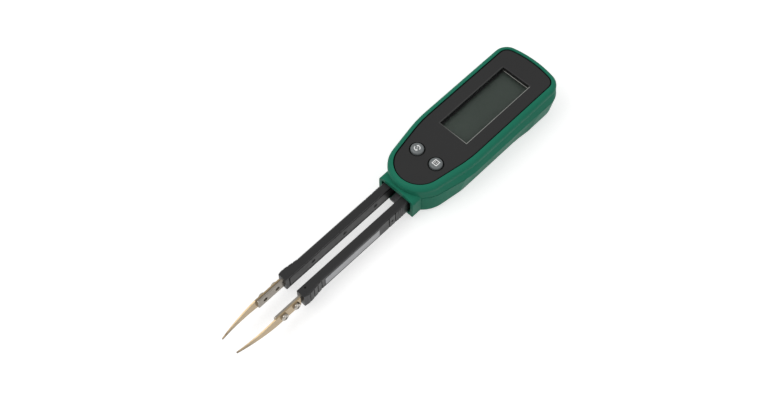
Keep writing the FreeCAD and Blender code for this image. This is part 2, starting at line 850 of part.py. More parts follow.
# Display: clear window under the roof, the glass cell, its holder and the rubber connectors
glass_top = roof_under - d.window_thick - d.seat_gap
glass_ledge_under = glass_top - d.glass_thick
glass_under = glass_ledge_under - d.glass_thick
glass_half = d.window_half_width + d.window_margin - d.seat_gap
glass_near = window_near - d.window_margin + d.seat_gap
glass_far = window_far + d.window_margin - d.seat_gap
holder_half = glass_half + d.seat_gap + d.holder_wall
holder_near = glass_near - d.seat_gap - d.holder_wall
holder_far = glass_far + d.seat_gap + d.holder_wall
rail_outer = glass_half - d.glass_ledge - d.seat_gap
zebra_inner = rail_outer + d.seat_gap


def make_display_window():
    body = new_body("display_window")
    plate = top_sketch(body, roof_under)
    window_cut(plate, d.window_margin)
    pad(body, plate, d.window_thick, flip=True)
    return body


def make_lcd_cell():
    body = new_body("lcd_cell")
    front = top_sketch(body, glass_ledge_under)
    rectangle(front, -glass_half, glass_half, glass_near, glass_far)
    pad(body, front, d.glass_thick)
    back = top_sketch(body, glass_under)
    inner = glass_half - d.glass_ledge
    rectangle(back, -inner, inner, glass_near, glass_far)
    pad(body, back, d.glass_thick)
    return body


def make_lcd_holder():
    body = new_body("lcd_holder")
    block = top_sketch(body, board_top)
    rectangle(block, -holder_half, holder_half, holder_near, holder_far)
    pad(body, block, glass_top - board_top)
    room = top_sketch(body, board_top)
    inner = glass_half + d.seat_gap
    rectangle(room, -inner, inner, glass_near - d.seat_gap, glass_far + d.seat_gap)
    pocket(body, room, glass_top - board_top, flip=True)
    rails = top_sketch(body, board_top)
    for outer, inner in [(rail_outer, rail_outer - d.holder_rail), (d.holder_rail - rail_outer, -rail_outer)]:
        rectangle(rails, inner, outer, glass_near - d.seat_gap, glass_far + d.seat_gap)
    pad(body, rails, glass_under - d.seat_gap - board_top)
    return body


def make_zebra_strips():
    body = new_body("zebra_strips")
    strips = top_sketch(body, board_top)
    for left in (zebra_inner, -zebra_inner - d.zebra_width):
        rectangle(strips, left, left + d.zebra_width, glass_near + d.zebra_end, glass_far - d.zebra_end)
    pad(body, strips, glass_ledge_under - board_top)
    return body


# Main board with the measuring chip, the key switches and the spring contacts for the arms
def make_main_board():
    body = new_body("main_board")
    half = d.case_half_width - d.side_wall - d.board_gap
    near_y = hood_front + d.board_near_run
    far_y = case_far - d.board_far_margin
    shoulder = hood_front + d.case_shoulder_run
    cut = d.board_far_cut
    board = top_sketch(body, d.board_height)
    polygon(board, [(-d.board_near_half, near_y), (d.board_near_half, near_y), (half, shoulder),
                    (half, far_y - cut), (half - cut, far_y), (cut - half, far_y),
                    (-half, far_y - cut), (-half, shoulder)])
    pad(body, board, d.board_thick)
    bites = top_sketch(body, d.board_height)
    for spot in screw_places:
        circle(bites, spot, screw_boss + d.key_gap)
    pocket(body, bites, d.board_thick, flip=True)
    return body


def make_meter_chip():
    """The measuring circuit under a low round drop of potting resin."""
    body = new_body("meter_chip")
    drop = top_sketch(body, board_top)
    circle(drop, (ZERO, cell_y), d.chip_radius)
    pad(body, drop, d.chip_height)
    dress(body, "Fillet", d.chip_height * 0.8, lambda e: level(e, board_top + d.chip_height))
    return body


def make_key_switches():
    body = new_body("key_switches")
    cases = top_sketch(body, board_top)
    half = d.switch_width / 2
    for x, y in pair(key_x, key_y):
        rectangle(cases, x - half, x + half, y - half, y + half)
    pad(body, cases, d.switch_height)
    plungers = top_sketch(body, board_top + d.switch_height)
    for spot in pair(key_x, key_y):
        circle(plungers, spot, d.plunger_radius)
    pad(body, plungers, d.plunger_height)
    return body


def make_arm_contacts():
    """Spring leaves soldered to the board that rub on the tails of the contact strips."""
    body = new_body("arm_contacts")
    touch = arm_inner + d.lid_thick + d.strip_gap - d.contact_touch
    near_y = strip_tail_end - 2 * d.strip_tail
    foot_y = hood_front + d.board_near_run
    leaf = top_sketch(body, board_top)
    foot = top_sketch(body, board_top)
    for sign in (1, -1):
        edges = sorted([sign * touch, sign * (touch - d.contact_thick)], key=lambda s: s.value)
        rectangle(leaf, edges[0], edges[1], near_y, foot_y + d.contact_foot)
        feet = sorted([sign * touch, sign * (touch - d.contact_foot)], key=lambda s: s.value)
        rectangle(foot, feet[0], feet[1], foot_y + d.seat_gap, foot_y + d.contact_foot)
    pad(body, leaf, d.contact_height)
    pad(body, foot, d.contact_thick)
    return body


# Keys: round caps that stand in the panel, with a flange under the roof and a stem to the switch
def make_key(label, x):
    body = new_body(label)
    centre = (x, key_y)
    cap_top = panel_top + d.key_proud
    switch_top = board_top + d.switch_height + d.plunger_height
    stem_low = switch_top + d.key_travel + d.contact_touch
    flange_top = roof_under - d.contact_touch
    for low, high, radius in [(flange_top, cap_top, d.key_radius),
                              (flange_top - d.key_flange_thick, flange_top, d.key_radius + d.key_flange),
                              (stem_low, flange_top - d.key_flange_thick, d.key_stem_radius)]:
        disc = top_sketch(body, low)
        circle(disc, centre, radius)
        pad(body, disc, high - low)
    dress(body, "Fillet", d.key_crown, lambda e: level(e, cap_top))
    return body


# Battery: a coin cell in a tray under the board, with its two contacts
def make_battery_tray():
    body = new_body("battery_tray")
    half = d.cell_radius + d.cell_gap + d.tray_wall
    block = top_sketch(body, cell_floor)
    rectangle(block, -half, half, cell_y - half, cell_y + half)
    pad(body, block, d.board_height - cell_floor)
    nest = top_sketch(body, cell_floor)
    circle(nest, (ZERO, cell_y), d.cell_radius + d.cell_gap)
    pocket(body, nest, d.cell_thick, flip=True)
    slots = top_sketch(body, cell_floor)
    circle(slots, (ZERO, cell_y), d.cell_contact_radius + d.cell_gap)
    pocket(body, slots, d.board_height - cell_floor, flip=True)
    side = top_sketch(body, cell_floor)
    wide = d.side_contact_width / 2 + d.cell_gap
    rectangle(side, d.cell_radius, d.cell_radius + d.side_contact_thick + d.cell_gap + d.seat_gap,
              cell_y - wide, cell_y + wide)
    pocket(body, side, d.board_height - cell_floor, flip=True)
    return body


def make_battery_contacts():
    body = new_body("battery_contacts")
    centre = top_sketch(body, cell_top)
    circle(centre, (ZERO, cell_y), d.cell_contact_radius)
    pad(body, centre, d.tray_web)
    side = top_sketch(body, cell_floor)
    inner = d.cell_radius + d.seat_gap
    rectangle(side, inner, inner + d.side_contact_thick,
              cell_y - d.side_contact_width / 2, cell_y + d.side_contact_width / 2)
    pad(body, side, d.board_height - cell_floor)
    return body


def make_coin_cell():
    body = new_body("coin_cell")
    can = top_sketch(body, cell_floor)
    circle(can, (ZERO, cell_y), d.cell_radius)
    pad(body, can, d.cell_thick)
    dress(body, "Fillet", d.tray_web, lambda e: level(e, cell_floor) or level(e, cell_top))
    return body


# Pivot pins and the black nose block between the arms, with its spring
def make_pivot_pins():
    body = new_body("pivot_pins")
    low = d.arm_floor - d.arm_play - d.pin_seat
    pins = top_sketch(body, low)
    for spot in pivot_places:
        circle(pins, spot, d.pin_radius)
    pad(body, pins, arm_top + d.arm_play + d.pin_seat - low)
    return body


post_y = hood_front + d.post_run
block_back = hood_front + d.block_rear


def make_nose_block():
    body = new_body("nose_block")
    tongue_low = d.arm_floor - d.cover_gap
    foot = top_sketch(body, d.floor_thick)
    rectangle(foot, -d.stop_half, d.stop_half, hood_back + d.cover_gap, block_back)
    pad(body, foot, tongue_low - d.floor_thick)
    tongue = top_sketch(body, tongue_low)
    tongue_front = hood_front - d.tongue_reach
    polygon(tongue, [(-d.tongue_half, tongue_front), (d.tongue_half, tongue_front), (d.tongue_half, pivot_y),
                     (d.stop_half, pivot_y), (d.stop_half, block_back), (-d.stop_half, block_back),
                     (-d.stop_half, pivot_y), (-d.tongue_half, pivot_y)])
    pad(body, tongue, d.tongue_thick)
    post = top_sketch(body, tongue_low + d.tongue_thick)
    circle(post, (ZERO, post_y), d.spring_post_radius)
    pad(body, post, d.spring_post_height)
    return body


def make_return_spring():
    """A hairpin leaf: its bend goes round the post, its legs push the arms apart."""
    body = new_body("return_spring")
    drawing = top_sketch(body, arm_middle - d.spring_height / 2)
    bend_in = d.spring_post_radius + d.spring_gap
    bend_out = bend_in + d.spring_thick
    pad_out = arm_inner - d.spring_gap
    pad_in = pad_out - d.spring_thick
    tip_y = hood_front + d.spring_reach
    knee_y = tip_y + d.spring_pad
    outline = [(bend_out, post_y), (pad_out, knee_y), (pad_out, tip_y), (pad_in, tip_y), (pad_in, knee_y),
               (bend_in, post_y)]
    centre = (0, post_y.value)
    drawing.addGeometry(arc_geometry(centre, bend_out.value, 0, math.pi))
    drawing.addGeometry(arc_geometry(centre, bend_in.value, 0, math.pi))
    for arc, radius in ((0, bend_out), (1, bend_in)):
        dimension(drawing, "Radius", arc, None, radius)
        place(drawing, arc, 3, (ZERO, post_y))
    for sign, end in ((1, 1), (-1, 2)):
        spots = [(sign * x, y) for x, y in outline]
        first = drawing.GeometryCount
        for a, b in zip(spots[:-1], spots[1:]):
            drawing.addGeometry(Part.LineSegment(vector(a), vector(b)))
        last = drawing.GeometryCount - 1
        for i in range(first, last):
            drawing.addConstraint(Sketcher.Constraint("Coincident", i, 2, i + 1, 1))
        for i, spot in enumerate(spots[1:-1], start=first + 1):
            place(drawing, i, 1, spot)
        drawing.addConstraint(Sketcher.Constraint("Coincident", first, 1, 0, end))
        drawing.addConstraint(Sketcher.Constraint("Coincident", last, 2, 1, end))
        dimension(drawing, "DistanceY", first, 1, post_y)
        dimension(drawing, "DistanceY", last, 2, post_y)
    pad(body, drawing, d.spring_height)
    return body


# Arms: a channel moulding with a lid, a contact strip inside and a finger grip near the end
strip_inner = arm_inner + d.lid_thick + d.strip_gap
strip_outer = strip_inner + d.strip_thick
strip_end = arm_end - d.strip_reach
strip_tail_end = hood_front + d.arm_tail + d.strip_tail
lid_front = arm_end + d.lid_end
lid_screw_first = hood_front - d.lid_screw_run
lid_screw_last = arm_end + d.lid_screw_near
lid_screw_places = [(y, arm_middle) for y in (lid_screw_first, (lid_screw_first + lid_screw_last) / 2,
                                              lid_screw_last)]
tip_screw_places = [(arm_end - d.tip_screw_run - n * d.tip_screw_pitch, arm_middle) for n in range(2)]
channel_outer = strip_outer + d.lid_gap
grip_low = arm_end + d.grip_near
grip_high = grip_low + d.grip_flat
grip_start = grip_high + d.grip_ramp


def make_arm_shell():
    body = new_body("right_arm_shell")
    tail = hood_front + d.arm_tail
    tail_outer = pivot_x - d.tail_inset
    grip_x = arm_outer + d.grip_swell
    outline = top_sketch(body, d.arm_floor)
    polygon(outline, [(arm_inner, arm_end), (grip_x - d.grip_end_taper, arm_end), (grip_x, grip_low),
                      (grip_x, grip_high), (arm_outer, grip_start), (arm_outer, pivot_y),
                      (tail_outer, pivot_y), (tail_outer, tail), (arm_inner, tail)])
    pad(body, outline, d.arm_height)
    blends = [(grip_x, grip_high), (arm_outer, grip_start)]
    dress(body, "Fillet", d.grip_blend, lambda e: any(upright_at(e, x.value, y.value) for x, y in blends))
    dress(body, "Chamfer", d.arm_edge, outer_long_edge)
    knuckle = top_sketch(body, d.arm_floor)
    circle(knuckle, (pivot_x, pivot_y), d.pin_radius + d.knuckle_wall)
    pad(body, knuckle, d.arm_height)

    bore = top_sketch(body, d.arm_floor)
    circle(bore, (pivot_x, pivot_y), d.pin_radius + d.pin_clearance)
    pocket(body, bore, d.arm_height, flip=True)
    lid_seat = side_sketch(body, arm_inner)
    rectangle(lid_seat, lid_front, tail, d.arm_floor + d.lid_margin, arm_top - d.lid_margin)
    pocket(body, lid_seat, d.lid_thick, flip=True)
    channel = side_sketch(body, arm_inner + d.lid_thick)
    half = d.strip_height / 2 + d.strip_gap
    rectangle(channel, arm_end, tail, arm_middle - half, arm_middle + half)
    pocket(body, channel, channel_outer - arm_inner - d.lid_thick, flip=True)
    pilots = side_sketch(body, channel_outer)
    for spot in lid_screw_places:
        circle(pilots, spot, d.lid_screw_radius + d.thread_gap)
    pocket(body, pilots, d.lid_screw_bite, flip=True)

    ribs = top_sketch(body, d.arm_floor)
    for n in range(4):
        middle = arm_end + d.rib_run + n * d.rib_pitch
        skin = arm_outer + d.grip_swell * (grip_start - middle) / d.grip_ramp
        rectangle(ribs, skin - d.rib_depth, skin + d.rib_depth,
                  middle - d.rib_width / 2, middle + d.rib_width / 2)
    for n in range(2):
        middle = hood_front - d.collar_rib_run - n * d.collar_rib_pitch
        rectangle(ribs, arm_outer - d.rib_depth, arm_outer + d.rib_depth,
                  middle - d.rib_width / 2, middle + d.rib_width / 2)
    pocket(body, ribs, d.arm_height, flip=True)
    dimple = side_sketch(body, arm_outer)
    circle(dimple, (hood_front - d.collar_rib_run - d.collar_rib_pitch / 2, arm_middle), d.dimple_radius)
    pocket(body, dimple, d.lid_thick * 0.6)
    return body


def outer_long_edge(edge):
    """The long straight edges along the outer face, top and bottom."""
    return along_y_at(edge, arm_outer, d.arm_floor) or along_y_at(edge, arm_outer, arm_top)


def make_arm_cover():
    body = new_body("right_arm_cover")
    low, high = d.arm_floor + d.lid_margin + d.lid_gap, arm_top - d.lid_margin - d.lid_gap
    plate = side_sketch(body, arm_inner)
    rectangle(plate, lid_front + d.lid_gap, hood_front + d.lid_rear, low, high)
    pad(body, plate, d.lid_thick - d.lid_gap)
    holes = side_sketch(body, arm_inner)
    for spot in lid_screw_places:
        circle(holes, spot, d.lid_screw_radius + d.strip_gap)
    pocket(body, holes, d.lid_thick, flip=True)
    sinks = side_sketch(body, arm_inner)
    for spot in lid_screw_places:
        circle(sinks, spot, d.lid_screw_head + d.lid_gap)
    pocket(body, sinks, d.lid_screw_head_thick + d.strip_gap, flip=True)
    return body


def make_side_screws(label, places, head_near, head_radius, head_thick, shank_radius, shank_end):
    """Screws across the arm, as a group of separate solids; the head starts at head_near."""
    body = new_body(label)
    heads = side_sketch(body, head_near)
    for spot in places:
        circle(heads, spot, head_radius)
    outward = shank_end.value < head_near.value
    pad(body, heads, head_thick)
    shanks = side_sketch(body, head_near if outward else head_near + head_thick)
    for spot in places:
        circle(shanks, spot, shank_radius)
    if outward:
        pad(body, shanks, head_near - shank_end, flip=True)
    else:
        pad(body, shanks, shank_end - head_near - head_thick)
    return body


def make_contact_strip():
    body = new_body("right_contact_strip")
    low, high = arm_middle - d.strip_height / 2, arm_middle + d.strip_height / 2
    bar = side_sketch(body, strip_inner)
    rectangle(bar, strip_end, strip_tail_end, low, high)
    pad(body, bar, d.strip_thick)
    holes = side_sketch(body, strip_inner)
    for spot in tip_screw_places:
        circle(holes, spot, d.tip_screw_radius + d.thread_gap)
    for spot in lid_screw_places:
        circle(holes, spot, d.lid_screw_radius + 4 * d.strip_gap)
    pocket(body, holes, d.strip_thick, flip=True)
    dress(body, "Fillet", d.strip_corner,
          lambda e: any(along_x_at(e, strip_end, z) for z in (low, high)))
    return body


def make_tip():
    """A thin blade on the strip's outer side; it tapers and curves in to a fine point."""
    body = new_body("right_tip")
    root = arm_end - d.tip_start
    bend = tip_point + d.tip_bend
    inner, outer = strip_outer, strip_outer + d.tip_thick
    point_in = inner - d.tip_inset
    point_out = point_in + d.tip_point_thick
    half, point_half = d.tip_height / 2, d.tip_point_height / 2

    def curve(start_x, end_x):
        """Centre and angles of the arc that leaves the straight root smoothly and ends at the point."""
        inset, run = start_x.value - end_x.value, bend.value - tip_point.value
        radius = (run * run + inset * inset) / (2 * inset)
        return arc_geometry((start_x.value - radius, bend.value), radius, -math.asin(run / radius), 0)

    plan = top_sketch(body, arm_middle - half)
    spots = [(outer, bend), (outer, root), (inner, root), (inner, bend)]
    for a, b in zip(spots[:-1], spots[1:]):
        plan.addGeometry(Part.LineSegment(vector(a), vector(b)))
    plan.addGeometry(curve(inner, point_in))
    plan.addGeometry(Part.LineSegment(vector((point_in, tip_point)), vector((point_out, tip_point))))
    plan.addGeometry(curve(outer, point_out))
    for i in (0, 1):
        plan.addConstraint(Sketcher.Constraint("Coincident", i, 2, i + 1, 1))
    plan.addConstraint(Sketcher.Constraint("Tangent", 2, 2, 3, 2))
    plan.addConstraint(Sketcher.Constraint("Coincident", 3, 1, 4, 1))
    plan.addConstraint(Sketcher.Constraint("Coincident", 4, 2, 5, 1))
    plan.addConstraint(Sketcher.Constraint("Tangent", 5, 2, 0, 1))
    for line, spot in enumerate(spots[:-1]):
        place(plan, line, 1, spot)
    place(plan, 2, 2, spots[3])
    place(plan, 4, 1, (point_in, tip_point))
    place(plan, 4, 2, (point_out, tip_point))
    pad(body, plan, d.tip_height)

    tapers = side_sketch(body, point_in - d.tip_thick)
    for sign in (1, -1):
        polygon(tapers, [(bend, arm_middle + sign * half), (tip_point, arm_middle + sign * half),
                         (tip_point, arm_middle + sign * point_half)])
    pocket(body, tapers, outer - point_in + 2 * d.tip_thick, flip=True)
    holes = side_sketch(body, inner)
    for spot in tip_screw_places:
        circle(holes, spot, d.tip_screw_radius + d.strip_gap)
    pocket(body, holes, d.tip_thick, flip=True)
    return body


def make_label():
    """The plain silver sticker on the outer face of the right arm."""
    body = new_body("arm_label")
    low, high = arm_middle - d.label_height / 2, arm_middle + d.label_height / 2
    plate = side_sketch(body, arm_outer)
    rectangle(plate, grip_start + d.label_gap, hood_front - d.label_run, low, high)
    pad(body, plate, d.label_thick)
    return body


def make_right_arm():
    """Every piece of the right arm that the left arm mirrors."""
    tip_head = strip_outer + d.tip_thick
    lid_screws = make_side_screws("right_cover_screws", lid_screw_places, arm_inner + d.strip_gap,
                                  d.lid_screw_head, d.lid_screw_head_thick, d.lid_screw_radius,
                                  channel_outer + d.lid_screw_bite - d.seat_gap)
    tip_screws = make_side_screws("right_tip_screws", tip_screw_places, tip_head, d.tip_screw_head,
                                  d.tip_screw_head_thick, d.tip_screw_radius, strip_inner + d.seat_gap)
    dress(tip_screws, "Fillet", d.tip_screw_crown,
          lambda e: near(e.BoundBox.XMin, tip_head + d.tip_screw_head_thick))
    return [make_arm_shell(), make_arm_cover(), lid_screws, make_contact_strip(), make_tip(), tip_screws]


right_arm = make_right_arm()
left_arm = [mirrored(piece, piece.Label.replace("right_", "left_")) for piece in right_arm]
PIECES = [
    make_front_case(),
    make_rear_case(),
    make_front_panel(),
    make_display_window(),
    make_lcd_cell(),
    make_lcd_holder(),
    make_zebra_strips(),
    make_main_board(),
    make_meter_chip(),
    make_key_switches(),
    make_arm_contacts(),
    make_key("function_key", -key_x),
    make_key("hold_key", key_x),
    make_battery_tray(),
    make_battery_contacts(),
    make_coin_cell(),
    make_battery_cover(),
    make_screws("battery_cover_screw", [cover_screw_place], ZERO, d.cover_screw_head,
                d.cover_screw_head_thick, d.cover_screw_radius, d.cover_screw_length),
    make_screws("case_screws", screw_places, d.screw_sink, d.screw_head_radius, d.screw_head_thick,
                d.screw_radius, d.seam_height + d.screw_grip - d.screw_sink),
    make_pivot_pins(),
    make_nose_block(),
    make_return_spring(),
    make_label(),
] + right_arm + left_arm

# Check every object, then write one file for each piece
DOC.recompute()
for thing in DOC.Objects:
    if "Invalid" in thing.State or "Error" in thing.State:
        raise RuntimeError(thing.Name + " did not recompute")
for piece in PIECES:
    if piece.Shape.isNull() or not piece.Shape.isValid():
        raise RuntimeError(piece.Label + " has no valid shape")
os.makedirs("parts", exist_ok=True)
for piece in PIECES:
    piece.Shape.exportStep("parts/%s.step" % piece.Label)
    print(piece.Label, "solids", len(piece.Shape.Solids), "volume", round(piece.Shape.Volume, 2))
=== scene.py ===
"""Component tester: the looks of a pocket meter with two springy measuring arms."""

import math

import bmesh
import bpy
from mathutils import Matrix, Vector


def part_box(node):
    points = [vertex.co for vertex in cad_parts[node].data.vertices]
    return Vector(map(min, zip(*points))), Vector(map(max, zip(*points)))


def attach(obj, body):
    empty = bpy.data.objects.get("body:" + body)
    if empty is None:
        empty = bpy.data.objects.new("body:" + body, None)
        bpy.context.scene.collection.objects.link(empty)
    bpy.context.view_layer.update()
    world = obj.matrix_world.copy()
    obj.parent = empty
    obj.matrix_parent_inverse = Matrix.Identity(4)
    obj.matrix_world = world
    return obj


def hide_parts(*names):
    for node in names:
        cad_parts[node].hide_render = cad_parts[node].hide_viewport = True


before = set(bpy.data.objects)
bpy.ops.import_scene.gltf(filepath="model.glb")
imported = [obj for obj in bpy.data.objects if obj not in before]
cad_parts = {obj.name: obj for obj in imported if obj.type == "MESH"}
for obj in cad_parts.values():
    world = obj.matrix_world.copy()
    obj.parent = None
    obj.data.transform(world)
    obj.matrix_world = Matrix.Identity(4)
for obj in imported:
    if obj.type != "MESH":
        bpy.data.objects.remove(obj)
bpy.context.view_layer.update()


# Rear case: the deep back half of the housing, waisted for the fingers. It is injection-moulded
# ABS, coloured right through, with a spark-eroded grain; four screws pull it to the front half.
MM = 0.001


def linear(written):
    """A written sRGB colour as the linear values that a shader's socket takes."""
    parts = [int(written[i:i + 2], 16) / 255 for i in (1, 3, 5)]
    return [p / 12.92 if p <= 0.04045 else ((p + 0.055) / 1.055) ** 2.4 for p in parts] + [1.0]


def add(tree, kind, sockets=None, **settings):
    """One shader node: its own settings, and its sockets as values or other nodes' outputs."""
    made = tree.nodes.new("ShaderNode" + kind)
    for name, value in settings.items():
        setattr(made, name, value)
    for name, value in (sockets or {}).items():
        if isinstance(value, bpy.types.NodeSocket):
            tree.links.new(value, made.inputs[name])
        else:
            made.inputs[name].default_value = value
    return made


def new_finish(name):
    """An empty finish: the material, its node tree, its shader and the place on the piece."""
    finish = bpy.data.materials.new(name)
    finish.use_nodes = True
    tree = finish.node_tree
    return finish, tree, tree.nodes["Principled BSDF"], add(tree, "TexCoord").outputs["Object"]


def every(size):
    """The scale of a pattern whose marks come every so many millimetres."""
    return 1 / (size * MM)


EDGE_RADIUS = 0.15      # of a moulded edge, in millimetres
HANDLED_PATCH = 7.0     # between patches that fingers have polished, in millimetres
PLASTIC_IOR = 1.53


def moulded(name, deep, pale, sheen, grain, relief, drift=28.0, specular=0.5, wear_and_highlight=None):
    """Moulded plastic: colour that drifts a little, grain from the tool, a handled sheen, and round
    edges painted paler, partly for wear from handling and partly as a painted edge highlight.
    sheen is the roughness at its smoothest and roughest; grain, relief and drift are in
    millimetres, the grain as coarse as it has to be to show in the picture."""
    finish, tree, shader, spot = new_finish(name)
    cloud = add(tree, "TexNoise", {"Vector": spot, "Scale": every(drift), "Detail": 5.0})
    tint = add(tree, "Mix", {0: cloud.outputs["Fac"], 6: linear(deep), 7: linear(pale)},
               data_type="RGBA")
    edge = add(tree, "Bevel", {"Radius": EDGE_RADIUS * MM}, samples=6)
    face = add(tree, "NewGeometry")
    lean = add(tree, "VectorMath", {0: edge.outputs["Normal"], 1: face.outputs["Normal"]},
               operation="DOT_PRODUCT")
    # Edges turn paler: partly wear from handling, partly a painted highlight along the edges.
    edge_wear_and_highlight = add(tree, "MapRange", {"Value": lean.outputs["Value"], "From Min": 0.985, "From Max": 0.9,
                                 "To Min": 0.0, "To Max": 0.4})
    tint = add(tree, "Mix", {0: edge_wear_and_highlight.outputs["Result"], 6: tint.outputs[2], 7: linear(wear_and_highlight or pale)},
               data_type="RGBA")
    rubbed = add(tree, "TexNoise", {"Vector": spot, "Scale": every(HANDLED_PATCH), "Detail": 6.0,
                                    "Roughness": 0.65})
    gloss = add(tree, "MapRange", {"Value": rubbed.outputs["Fac"], "From Min": 0.3, "From Max": 0.7,
                                   "To Min": sheen[0], "To Max": sheen[1]})
    pits = add(tree, "TexNoise", {"Vector": spot, "Scale": every(grain), "Detail": 2.0})
    skin = add(tree, "Bump", {"Height": pits.outputs["Fac"], "Normal": edge.outputs["Normal"],
                              "Strength": 0.6, "Distance": relief * MM})
    shader.inputs["Specular IOR Level"].default_value = specular
    shader.inputs["IOR"].default_value = PLASTIC_IOR
    tree.links.new(tint.outputs[2], shader.inputs["Base Color"])
    tree.links.new(gloss.outputs["Result"], shader.inputs["Roughness"])
    tree.links.new(skin.outputs["Normal"], shader.inputs["Normal"])
    return finish


def coat(finish, *names):
    """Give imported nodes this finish."""
    for name in names:
        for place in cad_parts[name].material_slots:
            place.material = finish


# Grained ABS looks even and softly matt. The real grain is about 0.1 mm; it is drawn at 0.45 mm so
# that it still shows.
green_abs = moulded("green_abs_moulded", "#1C7158", "#288067", (0.38, 0.52), 0.45, 0.02,
                    specular=0.07, wear_and_highlight="#3A8F77")
coat(green_abs, "rear_case")


# Pivot pins, nose block and return spring: ground steel pins for the two arms, a grey nylon
# block in the hood whose tongue lies between the arms, and a bent spring strip pushing them apart.
SCRATCH_STRETCH, SCRATCH_DEEP = 0.04, 0.01  # width over length, and depth in millimetres


def metal(name, deep, pale, sheen, lines, run, stain=9.0):
    """Metal or plating: fine lines along the run axis (0, 1 or 2), and soft stains from handling.
    sheen is the roughness at its smoothest and roughest; lines and stain are in millimetres. Real
    lines are much finer, and are drawn coarse enough to show."""
    finish, tree, shader, spot = new_finish(name)
    stretch = [1.0, 1.0, 1.0]
    stretch[run] = SCRATCH_STRETCH
    drawn = add(tree, "Mapping", {"Vector": spot, "Scale": stretch})
    scratch = add(tree, "TexNoise", {"Vector": drawn.outputs["Vector"], "Scale": every(lines),
                                     "Detail": 3.0})
    cloud = add(tree, "TexNoise", {"Vector": spot, "Scale": every(stain), "Detail": 5.0,
                                   "Roughness": 0.6})
    tint = add(tree, "Mix", {0: cloud.outputs["Fac"], 6: linear(deep), 7: linear(pale)},
               data_type="RGBA")
    both = add(tree, "Math", {0: scratch.outputs["Fac"], 1: cloud.outputs["Fac"]},
               operation="MULTIPLY")
    gloss = add(tree, "MapRange", {"Value": both.outputs["Value"],
                                   "From Min": 0.12, "From Max": 0.4,
                                   "To Min": sheen[0], "To Max": sheen[1]})
    skin = add(tree, "Bump", {"Height": scratch.outputs["Fac"], "Strength": 0.3,
                              "Distance": SCRATCH_DEEP * MM})
    shader.inputs["Metallic"].default_value = 1.0
    tree.links.new(tint.outputs[2], shader.inputs["Base Color"])
    tree.links.new(gloss.outputs["Result"], shader.inputs["Roughness"])
    tree.links.new(skin.outputs["Normal"], shader.inputs["Normal"])
    return finish


# Ground steel is bright, rolled spring steel darker and duller, and nylon even and matt.
ground_steel = metal("steel_ground", "#8E9093", "#B4B6B8", (0.18, 0.32), 0.15, 2)
spring_steel = metal("spring_steel_rolled", "#6F7275", "#93969A", (0.22, 0.4), 0.2, 2)
grey_nylon = moulded("grey_nylon_moulded", "#6A6A6B", "#7A7A7B", (0.42, 0.58), 0.5, 0.02)
coat(ground_steel, "pivot_pins")
coat(spring_steel, "return_spring")
coat(grey_nylon, "nose_block")


# Arms: two channel mouldings in black ABS with lids on their inner faces. They pinch towards each
# other under finger and thumb. Thin dull black films paint the shade in the joint round each lid
# and in the grooves and dimple on each collar, and a small dull black pin is pressed into the top
# of the right arm near its end.
def print_up(bm, thick):
    """Give flat faces the thickness of a print, upwards."""
    raised = bmesh.ops.extrude_face_region(bm, geom=bm.faces[:])
    corners = [item for item in raised["geom"] if isinstance(item, bmesh.types.BMVert)]
    bmesh.ops.translate(bm, verts=corners, vec=(0, 0, thick * MM))


def flat_frame(bm, low, high, width, height=0.0):
    """A flat frame just inside a rectangle from its low to its high corner."""
    made = bmesh.ops.create_grid(bm, x_segments=1, y_segments=1, size=0.5)
    bmesh.ops.scale(bm, vec=(high[0] - low[0], high[1] - low[1], 1), verts=made["verts"])
    middle = ((low[0] + high[0]) / 2, (low[1] + high[1]) / 2, height)
    bmesh.ops.translate(bm, vec=middle, verts=made["verts"])
    inner = list({face for corner in made["verts"] for face in corner.link_faces})
    bmesh.ops.inset_region(bm, faces=inner, thickness=width, use_boundary=True,
                           use_even_offset=True)
    bmesh.ops.delete(bm, geom=inner, context="FACES_ONLY")


def bar(bm, x, y, wide, tall):
    """A flat bar, centred at x and y."""
    made = bmesh.ops.create_grid(bm, x_segments=1, y_segments=1, size=0.5 * MM)
    bmesh.ops.scale(bm, vec=(wide, tall, 1), verts=made["verts"])
    bmesh.ops.translate(bm, vec=(x * MM, y * MM, 0), verts=made["verts"])


SHARP_BEND = math.radians(35)


def finished_piece(name, bm, finish, body, inlay=None):
    """A mesh piece at the origin: normals outwards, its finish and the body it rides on.
    An inlay is the finish of the faces that are marked with 1."""
    bmesh.ops.recalc_face_normals(bm, faces=bm.faces)
    mesh = bpy.data.meshes.new(name)
    bm.to_mesh(mesh)
    bm.free()
    for worked in (finish, inlay):
        if worked:
            mesh.materials.append(worked)
    mesh.shade_smooth()
    mesh.set_sharp_from_angle(angle=SHARP_BEND)
    piece = bpy.data.objects.new(name, mesh)
    bpy.context.scene.collection.objects.link(piece)
    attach(piece, body)
    return piece


SIDES = 36              # faces round a turned body
MERGE = 0.001           # distance under which corners are one, in millimetres


def turned(bm, outline):
    """A body turned about the upright axis from an outline of radii and heights in millimetres."""
    corners = [bm.verts.new((radius, 0, height)) for radius, height in outline]
    edges = [bm.edges.new(pair) for pair in zip(corners, corners[1:])]
    bmesh.ops.spin(bm, geom=corners + edges, axis=(0, 0, 1), cent=(0, 0, 0), angle=math.tau,
                   steps=SIDES, use_merge=True)
    bmesh.ops.remove_doubles(bm, verts=bm.verts, dist=MERGE)


def to_place(spot):
    """From a shape drawn in millimetres to its place in metres."""
    return Matrix.Translation(spot) @ Matrix.Scale(MM, 4)
